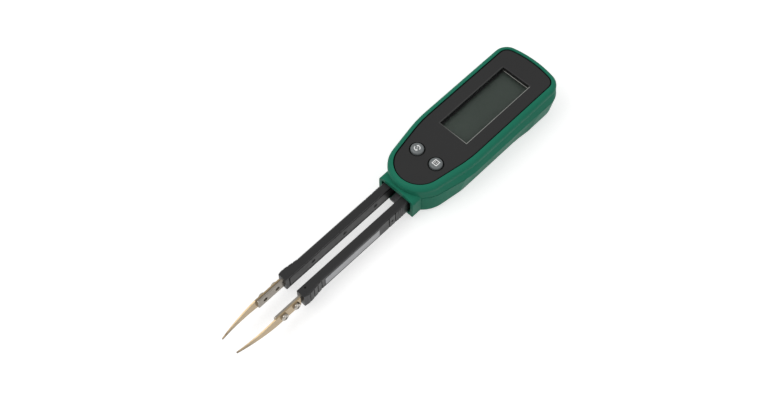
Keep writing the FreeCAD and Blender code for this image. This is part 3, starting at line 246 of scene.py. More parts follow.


# The arms are moulded with a coarser grain than the case and look rough; it is drawn at 0.7 mm so
# that it shows. The lids are painted a little paler, standing for the extra light that falls on
# their upright faces, and the painted shade in the joints is a dull black.
black_abs = moulded("black_abs_moulded", "#121212", "#1E1E1F", (0.34, 0.48), 0.7, 0.05,
                    specular=0.4, wear_and_highlight="#4A4A4B")
# The lid's paler colour is painted light, for the light on its upright face.
lid_abs_painted_paler = moulded("black_abs_lid_painted_paler", "#171717", "#272728", (0.38, 0.52), 0.6, 0.04, wear_and_highlight="#4A4A4B")
painted_shade_black = moulded("painted_shade_black_film", "#030303", "#070707", (0.6, 0.75), 0.4, 0.01,
                        specular=0.1)
FILM = 0.02                                 # thickness of ink or of a painted film, in millimetres
JOINT = 0.5 * MM
ARM_FACE, GROOVE_FLOOR = 6.9, 6.6           # from the middle of the tester, in millimetres
COLLAR_HEIGHT = 8.05                        # of the middle of the collar over the table
DIMPLE_Y, GROOVE_YS, RIB_YS = -7.225, (-5.35, -9.1), (-3.7, -2.5, -1.3)
DIMPLE_RADIUS, DIMPLE_EDGE, DIMPLE_DEEP = 0.44, 0.62, 0.5
GROOVE_WIDE, GROOVE_TALL = 0.46, 7.2
RIB_WIDE, RIB_TALL, RIB_RISE, RIB_ROUND = 0.6, 6.6, 0.16, 0.1
on_side = Matrix(((0, 0, 1, 0), (1, 0, 0, 0), (0, 1, 0, 0), (0, 0, 0, 1)))
for side, sign in (("left", -1), ("right", 1)):
    coat(black_abs, side + "_arm_shell")
    coat(lid_abs_painted_paler, side + "_arm_cover")
    low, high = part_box(side + "_arm_cover")
    # A dull black frame round each lid paints the shade in its joint.
    bm = bmesh.new()
    near_low = Vector((low.y - JOINT / 2, low.z - JOINT / 2))
    far_high = Vector((high.y - JOINT, high.z + JOINT / 2))
    flat_frame(bm, near_low, far_high, JOINT)
    print_up(bm, FILM)
    bmesh.ops.transform(bm, matrix=on_side, verts=bm.verts)
    bmesh.ops.translate(bm, vec=(-min(abs(low.x), abs(high.x)), 0, 0), verts=bm.verts)
    bmesh.ops.scale(bm, vec=(-sign, 1, 1), verts=bm.verts)
    finished_piece(side + "_lid_joint_painted_shade", bm, painted_shade_black, side + "_arm")

    # Dull black films in each collar's dimple and grooves paint their shade.
    bm = bmesh.new()
    turned(bm, [(0, -DIMPLE_DEEP), (DIMPLE_RADIUS, -DIMPLE_DEEP), (DIMPLE_RADIUS, 0),
                (DIMPLE_EDGE, 0), (DIMPLE_EDGE, FILM), (0, FILM)])
    outward = Matrix.Rotation(math.pi / 2, 4, "Y")
    dimple = to_place(Vector((ARM_FACE, DIMPLE_Y, COLLAR_HEIGHT)) * MM)
    bmesh.ops.transform(bm, matrix=dimple @ outward, verts=bm.verts)
    lines = bmesh.new()
    for y in GROOVE_YS:
        bar(lines, y, COLLAR_HEIGHT, GROOVE_WIDE, GROOVE_TALL)
    print_up(lines, FILM)
    in_groove = Matrix.Translation((GROOVE_FLOOR * MM, 0, 0)) @ on_side
    bmesh.ops.transform(lines, matrix=in_groove, verts=lines.verts)
    marks = bpy.data.meshes.new("collar_lines")
    lines.to_mesh(marks)
    lines.free()
    bm.from_mesh(marks)
    bpy.data.meshes.remove(marks)
    bmesh.ops.scale(bm, vec=(sign, 1, 1), verts=bm.verts)
    finished_piece(side + "_collar_painted_shade", bm, painted_shade_black, side + "_arm")

    bm = bmesh.new()
    for y in RIB_YS:
        bar(bm, y, COLLAR_HEIGHT, RIB_WIDE, RIB_TALL)
    print_up(bm, RIB_RISE)
    upper = [edge for edge in bm.edges
             if all(corner.co.z > RIB_RISE / 2 * MM for corner in edge.verts)]
    bmesh.ops.bevel(bm, geom=upper, offset=RIB_ROUND * MM, segments=3, profile=0.5,
                    affect="EDGES", material=-1)
    on_face = Matrix.Translation((ARM_FACE * MM, 0, 0)) @ on_side
    bmesh.ops.transform(bm, matrix=on_face, verts=bm.verts)
    bmesh.ops.scale(bm, vec=(sign, 1, 1), verts=bm.verts)
    finished_piece(side + "_collar_ribs", bm, black_abs, side + "_arm")

# The small pin is dull black, in the finish of the painted shade.
PIN_X, PIN_Y = 4.5, -54.2
PIN_RADIUS, PIN_DEEP, PIN_RISE = 0.42, 0.8, 0.06
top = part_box("right_arm_shell")[1].z / MM
bm = bmesh.new()
turned(bm, [(0, top - PIN_DEEP), (0.3, top - PIN_DEEP), (PIN_RADIUS, top - 0.7),
            (PIN_RADIUS, top + 0.01), (0.36, top + 0.05), (0.2, top + PIN_RISE),
            (0, top + PIN_RISE)])
bmesh.ops.transform(bm, matrix=to_place(Vector((PIN_X, PIN_Y, 0)) * MM), verts=bm.verts)
finished_piece("right_arm_pin", bm, painted_shade_black, "right_arm")


# Screws: steel, with domed or flat heads and a pressed cross recess. Three thin black ones hold
# each lid, and two nickel-plated ones with domed heads clamp each tip to its strip.
def cross(bm, reach, width, height):
    """The edges of a cross-shaped outline across a screw's axis, as many as a turned edge has."""
    half = width / 2
    quarter = [(reach, -half), (reach, half), (half, half)]
    outline = [Matrix.Rotation(math.pi / 2 * turn, 2) @ Vector(spot)
               for turn in range(4) for spot in quarter]
    corners = [bm.verts.new((spot.x, spot.y, height)) for spot in outline]
    edges = [bm.edges.new((a, b)) for a, b in zip(corners, corners[1:] + corners[:1])]
    split = bmesh.ops.subdivide_edges(bm, edges=edges, cuts=SIDES // len(edges) - 1)["geom"]
    pieces = {item for item in split if isinstance(item, bmesh.types.BMEdge)}
    return list(pieces | set(edges))


SHANK_CHAMFER, MOUTH_SUNK = 0.25, 0.03      # in millimetres
FLOOR_REACH_SHARE, FLOOR_WIDTH_SHARE = 0.62, 0.8
UNDER_FLOOR, INSIDE_LAND = 0.01, 0.05       # limits of the cross's own faces, in millimetres


def recessed_screw(bm, crown, recess, shank):
    """One screw in millimetres, head up, its seat at height 0. crown is the outline of the head
    from the edge of its flat land, recess the reach, width and depth of the cross, shank its
    radius and length. Bridging can cross over loops that are tiny or in one plane, so the shape
    isn't drawn in metres and the mouth of the cross is a little sunk. The walls and the floor of
    the cross are marked with 1."""
    land, top = crown[0]
    reach, width, depth = recess
    radius, length = shank
    turned(bm, crown + [(radius, 0), (radius, SHANK_CHAMFER - length),
                        (radius - SHANK_CHAMFER, -length), (0, -length)])
    edge_of_land = [edge for edge in bm.edges if edge.is_boundary]
    mouth = cross(bm, reach, width, top - MOUTH_SUNK)
    floor = cross(bm, FLOOR_REACH_SHARE * reach, FLOOR_WIDTH_SHARE * width, top - depth)
    bmesh.ops.bridge_loops(bm, edges=edge_of_land + mouth)
    bmesh.ops.bridge_loops(bm, edges=mouth + floor)
    bmesh.ops.contextual_create(bm, geom=floor)
    # The cross's walls and floor take the second finish, which paints their shade.
    lowest, widest = top - depth - UNDER_FLOOR, land - INSIDE_LAND
    for face in bm.faces:
        if all(spot.co.z > lowest and spot.co.xy.length < widest for spot in face.verts):
            face.material_index = 1


def screw_group(name, places, turn, form, finish, body, node):
    """Like screws at several places, heads along the turned axis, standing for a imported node."""
    bm = bmesh.new()
    recessed_screw(bm, **form)
    pattern = bpy.data.meshes.new("screw_pattern")
    bm.to_mesh(pattern)
    bm.clear()
    for spot in places:
        copy = pattern.copy()
        copy.transform(to_place(spot) @ turn)
        bm.from_mesh(copy)
        bpy.data.meshes.remove(copy)
    bpy.data.meshes.remove(pattern)
    piece = finished_piece(name, bm, finish, body, inlay=recess_painted_shade)
    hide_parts(node)


def dome(radius, land, side, top, steps=5):
    """The outline of a domed head, from the edge of its flat land down to its seat."""
    arc = [math.pi / 2 * n / steps for n in range(steps + 1)]
    crown = [(land + (radius - land) * math.sin(a), side + (top - side) * math.cos(a)) for a in arc]
    return crown + [(radius, 0.0)]


# Nickel plating mirrors what is round it, and black oxide is dark and satin. The cross recesses are
# painted dark and dull as painted shade.
recess_painted_shade = moulded("dark_painted_shade_in_recess", "#0D0C0B", "#1B1917", (0.6, 0.8), 0.3, 0.01,
                       drift=2.0)
plated_screw = metal("nickel_plated_screw", "#8C867E", "#D2CCC3", (0.04, 0.14), 0.12, 2, stain=2.5)
black_screw = metal("black_oxide_screw", "#080808", "#151516", (0.3, 0.45), 0.12, 2, stain=2.0)
TIP_HEAD, TIP_SEAT = 1.7, 1.5               # head's radius, and seat from the inner end
LID_HEAD, LID_RISE = 1.0, 0.45              # head's radius, and rise over its seat
tip_screw = {"crown": dome(radius=TIP_HEAD, land=0.95, side=0.45, top=1.3),
             "recess": (0.85, 0.36, 0.75), "shank": (1.0, 1.0)}
lid_screw = {"crown": [(0.72, LID_RISE), (0.95, 0.42), (LID_HEAD, 0.34), (LID_HEAD, 0.0)],
             "recess": (0.6, 0.24, 0.3), "shank": (0.5, 2.6)}
for side, sign in (("left", -1), ("right", 1)):
    low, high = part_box(side + "_tip_screws")
    seat = min(abs(low.x), abs(high.x)) + TIP_SEAT * MM
    spots = [Vector((sign * seat, y, (low.z + high.z) / 2))
             for y in (low.y + TIP_HEAD * MM, high.y - TIP_HEAD * MM)]
    outward = Matrix.Rotation(sign * math.pi / 2, 4, "Y")
    screw_group(side + "_tip_screws_pan_head", spots, outward, tip_screw, plated_screw,
                side + "_arm", side + "_tip_screws")
    low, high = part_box(side + "_cover_screws")
    seat = min(abs(low.x), abs(high.x)) + LID_RISE * MM
    near, far = low.y + LID_HEAD * MM, high.y - LID_HEAD * MM
    spots = [Vector((sign * seat, y, (low.z + high.z) / 2)) for y in (near, (near + far) / 2, far)]
    inward = Matrix.Rotation(-sign * math.pi / 2, 4, "Y")
    screw_group(side + "_cover_screws_cross_head", spots, inward, lid_screw, black_screw,
                side + "_arm", side + "_cover_screws")


# Contact strips and tips: brass strips, nickel plated, that carry the signal down the arms, and
# spring-hard blades, gold plated against tarnish, ground to a thin point that curves in.
def worn_point(finish, bare, start, end):
    """Plating rubbed through towards a point, from start to end in millimetres along the arm."""
    tree = finish.node_tree
    shader = tree.nodes["Principled BSDF"]
    plated = shader.inputs["Base Color"].links[0].from_socket
    spot = add(tree, "TexCoord").outputs["Object"]
    place = add(tree, "SeparateXYZ", {"Vector": spot})
    patchy = add(tree, "TexNoise", {"Vector": spot, "Scale": every(1.5), "Detail": 4.0})
    reach = add(tree, "MapRange", {"Value": place.outputs["Y"], "From Min": start * MM,
                                   "From Max": end * MM, "To Max": 1.5})
    share = add(tree, "Math", {0: reach.outputs["Result"], 1: patchy.outputs["Fac"]},
                operation="MULTIPLY", use_clamp=True)
    tint = add(tree, "Mix", {0: share.outputs["Value"], 6: plated, 7: linear(bare)},
               data_type="RGBA")
    tree.links.new(tint.outputs[2], shader.inputs["Base Color"])


# Nickel over brass is a warm grey with a blurred shine. Gold over the blade is pale and clearer,
# and wears through to a darker metal at the point.
strip_nickel = metal("nickel_plated_brass", "#827C72", "#A8A197", (0.24, 0.42), 0.25, 1)
tip_gold = metal("gold_plated_blade", "#9E8A6B", "#C0AB8A", (0.12, 0.26), 0.3, 1)
worn_point(tip_gold, "#4A3B2A", start=-80.0, end=-90.0)
for side in ("left", "right"):
    coat(strip_nickel, side + "_contact_strip")
    coat(tip_gold, side + "_tip")


# Label: a blank sticker of polyester film with a satin silver face, stuck to the outer side of the
# right arm between the grip and the collar. It gives back a soft, streaky light.
label_film = metal("silver_polyester_film", "#8C8D8F", "#A9AAAC", (0.36, 0.5), 0.3, 1, stain=5.0)
coat(label_film, "arm_label")


# Board: a double-sided circuit board under green solder mask, with the meter chip under a drop of
# black resin, two tactile switches for the keys and two springy contacts for the arms. Mask and
# resin are glossy and a little uneven, the switches matt.
solder_mask = moulded("green_solder_mask", "#0B4A2A", "#146338", (0.22, 0.34), 0.9, 0.03, drift=6.0)
black_resin = moulded("black_epoxy_resin", "#0C0C0D", "#161617", (0.18, 0.3), 1.2, 0.04, drift=4.0)
switch_black = moulded("black_switch_plastic", "#141415", "#222223", (0.4, 0.5), 0.3, 0.01)
coat(solder_mask, "main_board")
coat(black_resin, "meter_chip")
coat(switch_black, "key_switches")
coat(spring_steel, "arm_contacts")


# Battery: a coin cell in a black tray under the board, nickel contacts, and a green cover held by
# a hook and one screw at the back. The cell's can is bright stainless steel, the tray matt plastic.
cell_steel = metal("stainless_cell_can", "#A9ABAD", "#D0D2D4", (0.2, 0.34), 0.2, 0)
tray_plastic = moulded("tray_plastic", "#1A1A1B", "#272728", (0.44, 0.56), 0.5, 0.02)
coat(cell_steel, "coin_cell")
coat(strip_nickel, "battery_contacts")
coat(tray_plastic, "battery_tray")
coat(green_abs, "battery_cover")


# Display: a glass cell on striped rubber connectors in a white holder, under a clear acrylic pane.
# Switched off it shows the grey-green of its rear polariser.
def display_glass():
    """Unlit liquid crystal: a flat grey-green film with a very fine grain under glass."""
    finish, tree, shader, spot = new_finish("liquid_crystal_glass")
    cloud = add(tree, "TexNoise", {"Vector": spot, "Scale": every(22.0), "Detail": 3.0})
    tint = add(tree, "Mix", {0: cloud.outputs["Fac"], 6: linear("#434C46"), 7: linear("#4D5750")},
               data_type="RGBA")
    film = add(tree, "TexNoise", {"Vector": spot, "Scale": every(0.3), "Detail": 1.0})
    gloss = add(tree, "MapRange", {"Value": film.outputs["Fac"], "To Min": 0.32, "To Max": 0.42})
    shader.inputs["IOR"].default_value = 1.52
    shader.inputs["Specular IOR Level"].default_value = 0.3
    tree.links.new(tint.outputs[2], shader.inputs["Base Color"])
    tree.links.new(gloss.outputs["Result"], shader.inputs["Roughness"])
    return finish


def clear_acrylic():
    """Cast acrylic: clear, with a faint smoky tint and polishing marks. The pane is so thin that it
    is see-through without bending the light, and the glass right under it draws its gloss."""
    finish, tree, shader, spot = new_finish("clear_acrylic_pane")
    marks = add(tree, "TexNoise", {"Vector": spot, "Scale": every(3.0), "Detail": 4.0})
    gloss = add(tree, "MapRange", {"Value": marks.outputs["Fac"], "To Min": 0.05, "To Max": 0.15})
    shader.inputs["Base Color"].default_value = linear("#2A312D")
    shader.inputs["Alpha"].default_value = 0.08
    shader.inputs["IOR"].default_value = 1.49
    shader.inputs["Specular IOR Level"].default_value = 0.0
    tree.links.new(gloss.outputs["Result"], shader.inputs["Roughness"])
    return finish


def striped_rubber():
    """Silicone connector: carbon-black layers every 0.2 mm, drawn every 0.8 mm, in pale rubber.
    A wave of scale 1 repeats every pi / 10."""
    finish, tree, shader, spot = new_finish("striped_silicone_rubber")
    layers = add(tree, "TexWave", {"Vector": spot, "Scale": every(0.8) * math.pi / 10,
                                   "Distortion": 0.4}, bands_direction="Y")
    tint = add(tree, "Mix", {0: layers.outputs["Fac"], 6: linear("#1B1B1C"), 7: linear("#C9C4BC")},
               data_type="RGBA")
    pits = add(tree, "TexNoise", {"Vector": spot, "Scale": every(0.4)})
    gloss = add(tree, "MapRange", {"Value": pits.outputs["Fac"], "To Min": 0.5, "To Max": 0.7})
    tree.links.new(tint.outputs[2], shader.inputs["Base Color"])
    tree.links.new(gloss.outputs["Result"], shader.inputs["Roughness"])
    return finish


# The holder's plastic is a plain, matt white.
white_plastic = moulded("white_holder_plastic", "#C9C9C5", "#D8D8D4", (0.4, 0.52), 0.5, 0.02)
coat(white_plastic, "lcd_holder")
coat(striped_rubber(), "zebra_strips")
coat(display_glass(), "lcd_cell")
coat(clear_acrylic(), "display_window")


# Front case and panel: the green front half, moulded in ABS like the rear, with its rolled rim and
# the hood round the arms, and the black plastic panel taped into the rim, with the window and the
# two key holes.
coat(green_abs, "front_case")
# The panel's fine texture spreads the light, so that its black looks soft. It is drawn at 0.55 mm
# so that it shows.
panel_abs = moulded("black_panel_textured", "#121213", "#1C1C1C", (0.38, 0.5), 0.55, 0.025,
                    specular=0.4, wear_and_highlight="#333334")
coat(panel_abs, "front_panel")


# Seam shade: a dark cord in the groove between the two halves of the case, whose colour is painted
# shade. It follows the step on the rear case, so it starts from a copy of that step's wall.
UPRIGHT = 0.1           # the most that the normal of an upright face leans up or down


def outer_wall(node, keep):
    """A merged copy of a node's upright faces that look outwards and whose centres keep allows."""
    bm = bmesh.new()
    bm.from_mesh(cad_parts[node].data)
    bmesh.ops.remove_doubles(bm, verts=bm.verts, dist=MERGE * MM)
    bm.normal_update()
    low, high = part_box(node)
    middle = (low + high) / 2
    other = []
    for face in bm.faces:
        centre = face.calc_center_median()
        inwards = face.normal.dot(centre - middle) < 0
        if abs(face.normal.z) > UPRIGHT or inwards or not keep(centre):
            other.append(face)
    bmesh.ops.delete(bm, geom=other, context="FACES")
    return bm


# The cord's near-black colour is painted shade, so that the seam reads as a dark line.
seam_painted_shade = moulded("dark_seam_painted_shade", "#06120E", "#0A1A15", (0.6, 0.75), 0.4, 0.01,
                      specular=0.1)
STEP_RISE, SEAM_SHADE_THICK = 0.4 * MM, 0.15 * MM
step_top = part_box("rear_case")[1].z
bm = outer_wall("rear_case", lambda centre: step_top - STEP_RISE < centre.z < step_top)
bmesh.ops.solidify(bm, geom=bm.faces[:], thickness=-SEAM_SHADE_THICK)
finished_piece("case_seam_seal", bm, seam_painted_shade, "case")


# Panel tape: the rim of black foam tape that holds the panel and nearly fills the gap round it. It
# follows the panel's outer edge, so it starts from a copy of that wall. Its near-black, which gives
# back hardly any light, is painted shade as well as the foam's colour, so that the gap looks deep.
gap_painted_shade = moulded("black_gap_painted_shade", "#030303", "#070707", (0.7, 0.85), 0.3, 0.02, specular=0.05)
PANEL_THICK, TAPE_THICK, TAPE_SHARE = 1.0 * MM, 0.5 * MM, 0.8
INNER_X, INNER_NEAR, INNER_FAR = 8.2 * MM, 19 * MM, 78 * MM     # round the window and the keys
panel_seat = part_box("front_panel")[1].z - PANEL_THICK
bm = outer_wall("front_panel", lambda centre: centre.z > panel_seat
                and (abs(centre.x) > INNER_X or not INNER_NEAR < centre.y < INNER_FAR))
bmesh.ops.scale(bm, vec=(1, 1, TAPE_SHARE), space=Matrix.Translation((0, 0, -panel_seat)),
                verts=bm.verts)
bmesh.ops.solidify(bm, geom=bm.faces[:], thickness=-TAPE_THICK)
finished_piece("panel_tape_painted_shade", bm, gap_painted_shade, "case")


# Window lines: a thin pale line on the panel round the window is a painted highlight of the
# window's edge, bright at the right and near, fading to the left and at the far end. The pane
# has a black printed border, and a pale rod along its far edge paints that edge's highlight.
window_low, window_high = Vector((-7.4, 36.6)) * MM, Vector((7.4, 77.0)) * MM


def window_edge_highlight():
    """Painted edge highlight on the black panel: full at right and near, fading to left and far."""
    finish, tree, shader, spot = new_finish("painted_window_edge_highlight")
    place = add(tree, "SeparateXYZ", {"Vector": spot})
    across = add(tree, "MapRange", {"Value": place.outputs["X"], "From Min": window_low.x,
                                    "From Max": window_high.x, "To Min": 0.1, "To Max": 0.9})
    along = add(tree, "MapRange", {"Value": place.outputs["Y"],
                                   "From Min": window_high.y - 0.4 * MM,
                                   "From Max": window_high.y + 0.1 * MM,
                                   "To Min": 1.0, "To Max": 0.05})
    patchy = add(tree, "TexNoise", {"Vector": spot, "Scale": every(1.2), "Detail": 4.0})
    highlight_falloff = add(tree, "Math", {0: across.outputs["Result"], 1: along.outputs["Result"]},
               operation="MULTIPLY")
    # Patchy strength of the painted highlight.
    wear_and_highlight = add(tree, "MapRange", {"Value": patchy.outputs["Fac"], "To Min": 0.75, "To Max": 1.0})
    share = add(tree, "Math", {0: highlight_falloff.outputs["Value"], 1: wear_and_highlight.outputs["Result"]},
                operation="MULTIPLY")
    tint = add(tree, "Mix", {0: share.outputs["Value"], 6: linear("#161617"), 7: linear("#A9ABA6")},
               data_type="RGBA")
    shine = add(tree, "MapRange", {"Value": patchy.outputs["Fac"], "To Min": 0.4, "To Max": 0.55})
    tree.links.new(tint.outputs[2], shader.inputs["Base Color"])
    tree.links.new(shine.outputs["Result"], shader.inputs["Roughness"])
    return finish


LINE_WIDE, BORDER_WIDE = 0.24 * MM, 0.45 * MM
line_room = Vector((0.44, 0.44)) * MM       # from the window's edge to the outside of the line
panel_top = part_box("front_panel")[1].z
pane_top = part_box("display_window")[1].z
bm = bmesh.new()
flat_frame(bm, window_low - line_room, window_high + line_room, LINE_WIDE, panel_top)
print_up(bm, FILM)
finished_piece("window_edge_painted_highlight", bm, window_edge_highlight(), "case")
# Screen ink lies flat and even, and the pale rod along the pane's far edge is a painted highlight.
border_ink = moulded("black_screen_ink", "#0B0B0C", "#121213", (0.4, 0.5), 0.4, 0.005)
bm = bmesh.new()
flat_frame(bm, window_low, window_high, BORDER_WIDE, pane_top)
print_up(bm, FILM)
finished_piece("pane_border", bm, border_ink, "case")
# The pale rod paints the highlight of the pane's far edge.
edge_highlight_rod = moulded("pale_painted_pane_edge_highlight", "#A8A9A2", "#BABBB4", (0.25, 0.4), 0.6, 0.02, drift=5.0)
BEAD_RADIUS, BEAD_LONG, BEAD_ROUND, BEAD_ROOM = 0.12 * MM, 14.2 * MM, 0.06 * MM, 0.13 * MM
bm = bmesh.new()
bmesh.ops.create_cone(bm, cap_ends=True, segments=12, radius1=BEAD_RADIUS, radius2=BEAD_RADIUS,
                      depth=BEAD_LONG)
ends = [edge for edge in bm.edges if len({round(corner.co.z, 6) for corner in edge.verts}) == 1]
bmesh.ops.bevel(bm, geom=ends, offset=BEAD_ROUND, segments=3, profile=0.5, affect="EDGES",
                material=-1)
corner_of_pane = Matrix.Translation((0, window_high.y - BEAD_ROOM, pane_top + BEAD_ROOM))
lying = Matrix.Rotation(math.pi / 2, 4, "Y")
bmesh.ops.transform(bm, matrix=corner_of_pane @ lying, verts=bm.verts)
finished_piece("pane_edge_painted_highlight", bm, edge_highlight_rod, "case")


# Keys: two round caps of grey plastic with rounded rims, each with a flange under the panel that
# keeps it in and a stem that meets its switch. A white sign is printed on each, one of them on a
# dark field, and a thin near-black lip on the panel round it paints the shade in the gap.
SIGN_REACH, SIGN_FRAME = 1.3, 0.42          # in millimetres, as all sizes of the keys
BAR_OFFSET, BAR_WIDE, BAR_TALL = 0.38, 0.3, 1.1


def hold_sign(bm):
    """A square frame round two upright bars: stop and keep the reading."""
    reach = Vector((SIGN_REACH, SIGN_REACH)) * MM
    flat_frame(bm, -reach, reach, SIGN_FRAME * MM)
    for side in (-1, 1):
        bar(bm, side * BAR_OFFSET, 0, BAR_WIDE, BAR_TALL)


STROKE, BARB, POINT_RADIUS = (0.96, 1.4), (0.62, 1.74), 1.18    # radii of an arrow's parts
BARB_ANGLE, POINT_ANGLE = 105, 150          # in degrees from the arrow's tail
DOT_WIDE = 0.44


def next_sign(bm):
    """Two bent arrows chasing each other round a dot: step to the next function."""
    start = [bm.verts.new((radius * MM, 0, 0)) for radius in STROKE]
    stroke = [bm.edges.new(start)]
    bmesh.ops.spin(bm, geom=start + stroke, axis=(0, 0, 1), angle=math.radians(BARB_ANGLE),
                   steps=12)
    point = [(radius, BARB_ANGLE) for radius in BARB] + [(POINT_RADIUS, POINT_ANGLE)]
    placed = [(radius * MM, math.radians(angle)) for radius, angle in point]
    bm.faces.new([bm.verts.new((r * math.cos(a), r * math.sin(a), 0)) for r, a in placed])
    other = bmesh.ops.duplicate(bm, geom=bm.verts[:] + bm.edges[:] + bm.faces[:])["geom"]
    corners = [item for item in other if isinstance(item, bmesh.types.BMVert)]
    bmesh.ops.rotate(bm, matrix=Matrix.Rotation(math.pi, 3, "Z"), verts=corners)
    bar(bm, 0, 0, DOT_WIDE, DOT_WIDE)


# The keys' plastic has a soft sheen, and the printed inks lie flat and matt on it.
key_grey = moulded("grey_key_plastic", "#666B6C", "#757A7B", (0.34, 0.46), 0.35, 0.015, drift=3.0)
sign_white = moulded("white_key_print", "#F2F3F2", "#FAFBFA", (0.45, 0.55), 0.3, 0.005, drift=2.0)
field_print = moulded("dark_key_print", "#1C1E1F", "#26282A", (0.45, 0.55), 0.3, 0.005, drift=2.0)
CAP_RADIUS, CAP_ROUND, ROUND_STEPS = 2.9, 0.9, 6
DISH_RADIUS, DISH_FLAT, DISH_DEEP = 1.6, 0.8, 0.02
STEM_RADIUS, STEM_LONG, FLANGE_THICK = 1.6, 1.9, 0.9
SIGN_ROOM, SIGN_THICK, FIELD_THICK, FIELD_WIDE = 0.04, 0.05, 0.03, 1.74
# Radii, and heights over the panel
lip = [(3.22, -0.3), (3.22, 0.04), (3.26, 0.06), (3.42, 0.06),
       (3.46, 0.04), (3.46, 0.01), (3.3, 0.01), (3.26, -0.3)]
for key, draw_sign in (("function_key", next_sign), ("hold_key", hold_sign)):
    low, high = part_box(key)
    middle = (low + high) / 2
    base, top = low.z / MM, high.z / MM - SIGN_ROOM
    flange_radius = (high.x - low.x) / 2 / MM
    flange_low = base + STEM_LONG
    flange_top = flange_low + FLANGE_THICK
    dish = top - DISH_DEEP
    stem = [(0, base), (STEM_RADIUS, base), (STEM_RADIUS, flange_low)]
    flange = [(flange_radius, flange_low), (flange_radius, flange_top), (CAP_RADIUS, flange_top)]
    bend = [math.pi / 2 * n / ROUND_STEPS for n in range(ROUND_STEPS + 1)]
    rim = [(CAP_RADIUS - CAP_ROUND + CAP_ROUND * math.cos(a),
            top - CAP_ROUND + CAP_ROUND * math.sin(a)) for a in bend]
    bm = bmesh.new()
    hollow = [(DISH_RADIUS, top - DISH_DEEP / 2), (DISH_FLAT, dish), (0, dish)]
    turned(bm, stem + flange + rim + hollow)
    bmesh.ops.transform(bm, matrix=to_place((middle.x, middle.y, 0)), verts=bm.verts)
    cap = finished_piece(key + "_cap", bm, key_grey, key)
    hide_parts(key)
    bm = bmesh.new()
    draw_sign(bm)
    print_up(bm, SIGN_THICK)
    bmesh.ops.translate(bm, verts=bm.verts, vec=(middle.x, middle.y, dish * MM))
    finished_piece(key + "_sign", bm, sign_white, key)
    # The near-black lip round the key is painted shade.
    bm = bmesh.new()
    turned(bm, lip + lip[:1])
    bmesh.ops.transform(bm, matrix=to_place((middle.x, middle.y, panel_top)), verts=bm.verts)
    finished_piece(key + "_seal", bm, gap_painted_shade, "case")
    if draw_sign is hold_sign:
        bm = bmesh.new()
        bar(bm, 0, 0, FIELD_WIDE, FIELD_WIDE)
        print_up(bm, FIELD_THICK)
        bmesh.ops.translate(bm, verts=bm.verts, vec=(middle.x, middle.y, dish * MM))
        finished_piece(key + "_field", bm, field_print, key)


# Case screws and cover screw: steel screws with black pan heads, sunk in the back. Four long ones
# join the halves of the case, a short one holds the battery cover.
heads_down = Matrix.Rotation(math.pi, 4, "X")
CASE_HEAD_RISE, COVER_HEAD_RISE = 1.4, 0.8  # in millimetres
near_pair, far_pair = (11.4, 30.0), (10.6, 84.0)    # places across and along, in millimetres
low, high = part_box("case_screws")
length = (high.z - low.z) / MM - CASE_HEAD_RISE
pan_screw = {"crown": dome(radius=1.9, land=1.1, side=0.5, top=CASE_HEAD_RISE),
             "recess": (0.95, 0.42, 0.8), "shank": (1.0, length)}
spots = [Vector((sign * x * MM, y * MM, low.z + CASE_HEAD_RISE * MM))
         for x, y in (near_pair, far_pair) for sign in (-1, 1)]
screw_group("case_screws_pan_head", spots, heads_down, pan_screw, black_screw,
            "case", "case_screws")
low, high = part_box("battery_cover_screw")
middle = (low + high) / 2
length = (high.z - low.z) / MM - COVER_HEAD_RISE
cover_screw = {"crown": dome(radius=1.7, land=1.0, side=0.3, top=COVER_HEAD_RISE),
               "recess": (0.85, 0.38, 0.5), "shank": (0.9, length)}
spots = [Vector((middle.x, middle.y, low.z + COVER_HEAD_RISE * MM))]
screw_group("battery_cover_screw_pan_head", spots, heads_down, cover_screw, black_screw,
            "case", "battery_cover_screw")


# Floor and light: a pale sheet, lit softly all round with a large lamp overhead and a weaker one
# from the right. The sheet is a little brighter to the eye, so that it reads as white paper, and
# what lies behind it is white too.
FLOOR_REACH = 3.0                           # in metres, from the middle
bm = bmesh.new()
bmesh.ops.create_grid(bm, x_segments=1, y_segments=1, size=FLOOR_REACH)
sheet = bpy.data.meshes.new("floor")
bm.to_mesh(sheet)
bm.free()
floor = bpy.data.objects.new("floor", sheet)
bpy.context.scene.collection.objects.link(floor)


def only_seen(tree, strength):
    """A strength for what the eye sees, in gloss and through glass too, and none otherwise."""
    rays = add(tree, "LightPath").outputs
    seen = add(tree, "Math", {0: rays["Is Camera Ray"], 1: rays["Is Glossy Ray"]},
               operation="MAXIMUM")
    seen = add(tree, "Math", {0: seen.outputs["Value"], 1: rays["Is Transmission Ray"]},
               operation="MAXIMUM")
    return add(tree, "Math", {0: seen.outputs["Value"], 1: strength},
               operation="MULTIPLY").outputs["Value"]


PAPER_LIFT, STUDIO_SEEN = 0.6, 0.75         # brightness to the eye
STUDIO_LOW, STUDIO_HIGH = 0.12, 0.72        # light from the horizon and from overhead
paper, tree, shader, spot = new_finish("white_paper")
shader.inputs["Base Color"].default_value = linear("#CFCFCF")
shader.inputs["Roughness"].default_value = 0.9
shader.inputs["Specular IOR Level"].default_value = 0.1
shader.inputs["Emission Color"].default_value = (1, 1, 1, 1)
tree.links.new(only_seen(tree, PAPER_LIFT), shader.inputs["Emission Strength"])
sheet.materials.append(paper)

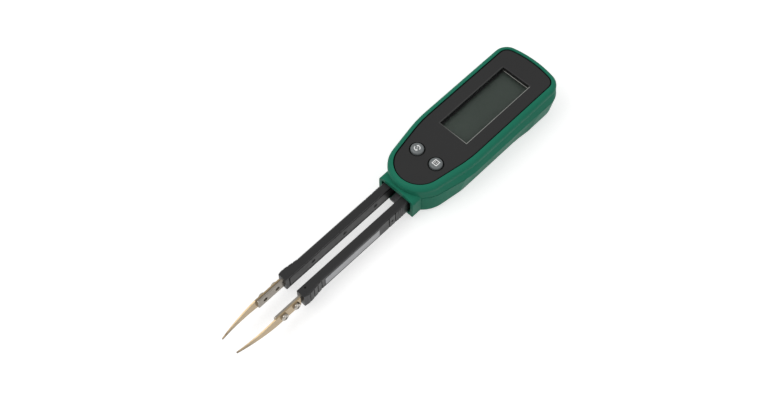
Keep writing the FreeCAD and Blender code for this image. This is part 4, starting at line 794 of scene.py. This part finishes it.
world = bpy.data.worlds.new("studio")
bpy.context.scene.world = world
world.use_nodes = True
tree = world.node_tree
sky = add(tree, "SeparateXYZ", {"Vector": add(tree, "TexCoord").outputs["Generated"]})
rise = add(tree, "MapRange", {"Value": sky.outputs["Z"], "From Max": 0.9,
                              "To Min": STUDIO_LOW, "To Max": STUDIO_HIGH})
pale = add(tree, "Math", {0: rise.outputs["Result"], 1: only_seen(tree, STUDIO_SEEN)},
           operation="MAXIMUM")
straight = add(tree, "LightPath").outputs["Is Camera Ray"]
pale = add(tree, "Math", {0: pale.outputs["Value"], 1: straight}, operation="MAXIMUM")
tree.nodes["Background"].inputs["Color"].default_value = (1, 1, 1, 1)
tree.links.new(pale.outputs["Value"], tree.nodes["Background"].inputs["Strength"])


def lamp(name, place, size, power):
    """A soft square lamp at a place, turned to the middle of the table, in metres and watts."""
    light = bpy.data.lights.new(name, "AREA")
    light.shape = "SQUARE"
    light.size = size
    light.energy = power
    holder = bpy.data.objects.new(name, light)
    holder.location = place
    holder.rotation_euler = (-Vector(place)).to_track_quat("-Z", "Y").to_euler()
    bpy.context.scene.collection.objects.link(holder)


lamp("overhead_lamp", (-0.4, -0.5, 0.95), size=0.8, power=3.9)
lamp("right_lamp", (0.85, 0.1, 0.6), size=0.6, power=1.2)


# Camera: high over the near right corner, looking down along the arms, as in the photograph. Its
# angles are in degrees, its distance in metres and its focal length in pixels of the picture.
AZIMUTH, ELEVATION, DISTANCE = 43.811, 59.218, 0.4729
FOCAL_PIXELS, PICTURE_WIDTH = 1144.92, 780
turn, tilt = math.radians(AZIMUTH), math.radians(ELEVATION)
back = Vector((math.sin(turn) * math.cos(tilt), -math.cos(turn) * math.cos(tilt), math.sin(tilt)))
aim = Vector((-0.00071, -0.00077, 0.008))
view = bpy.data.cameras.new("camera")
view.sensor_width = 36.0
view.lens = view.sensor_width * FOCAL_PIXELS / PICTURE_WIDTH
view.clip_start = 0.01
camera = bpy.data.objects.new("camera", view)
camera.location = aim + DISTANCE * back
camera.rotation_euler = (-back).to_track_quat("-Z", "Y").to_euler()
bpy.context.scene.collection.objects.link(camera)
bpy.context.scene.camera = camera
bpy.context.scene.view_settings.view_transform = "Standard"
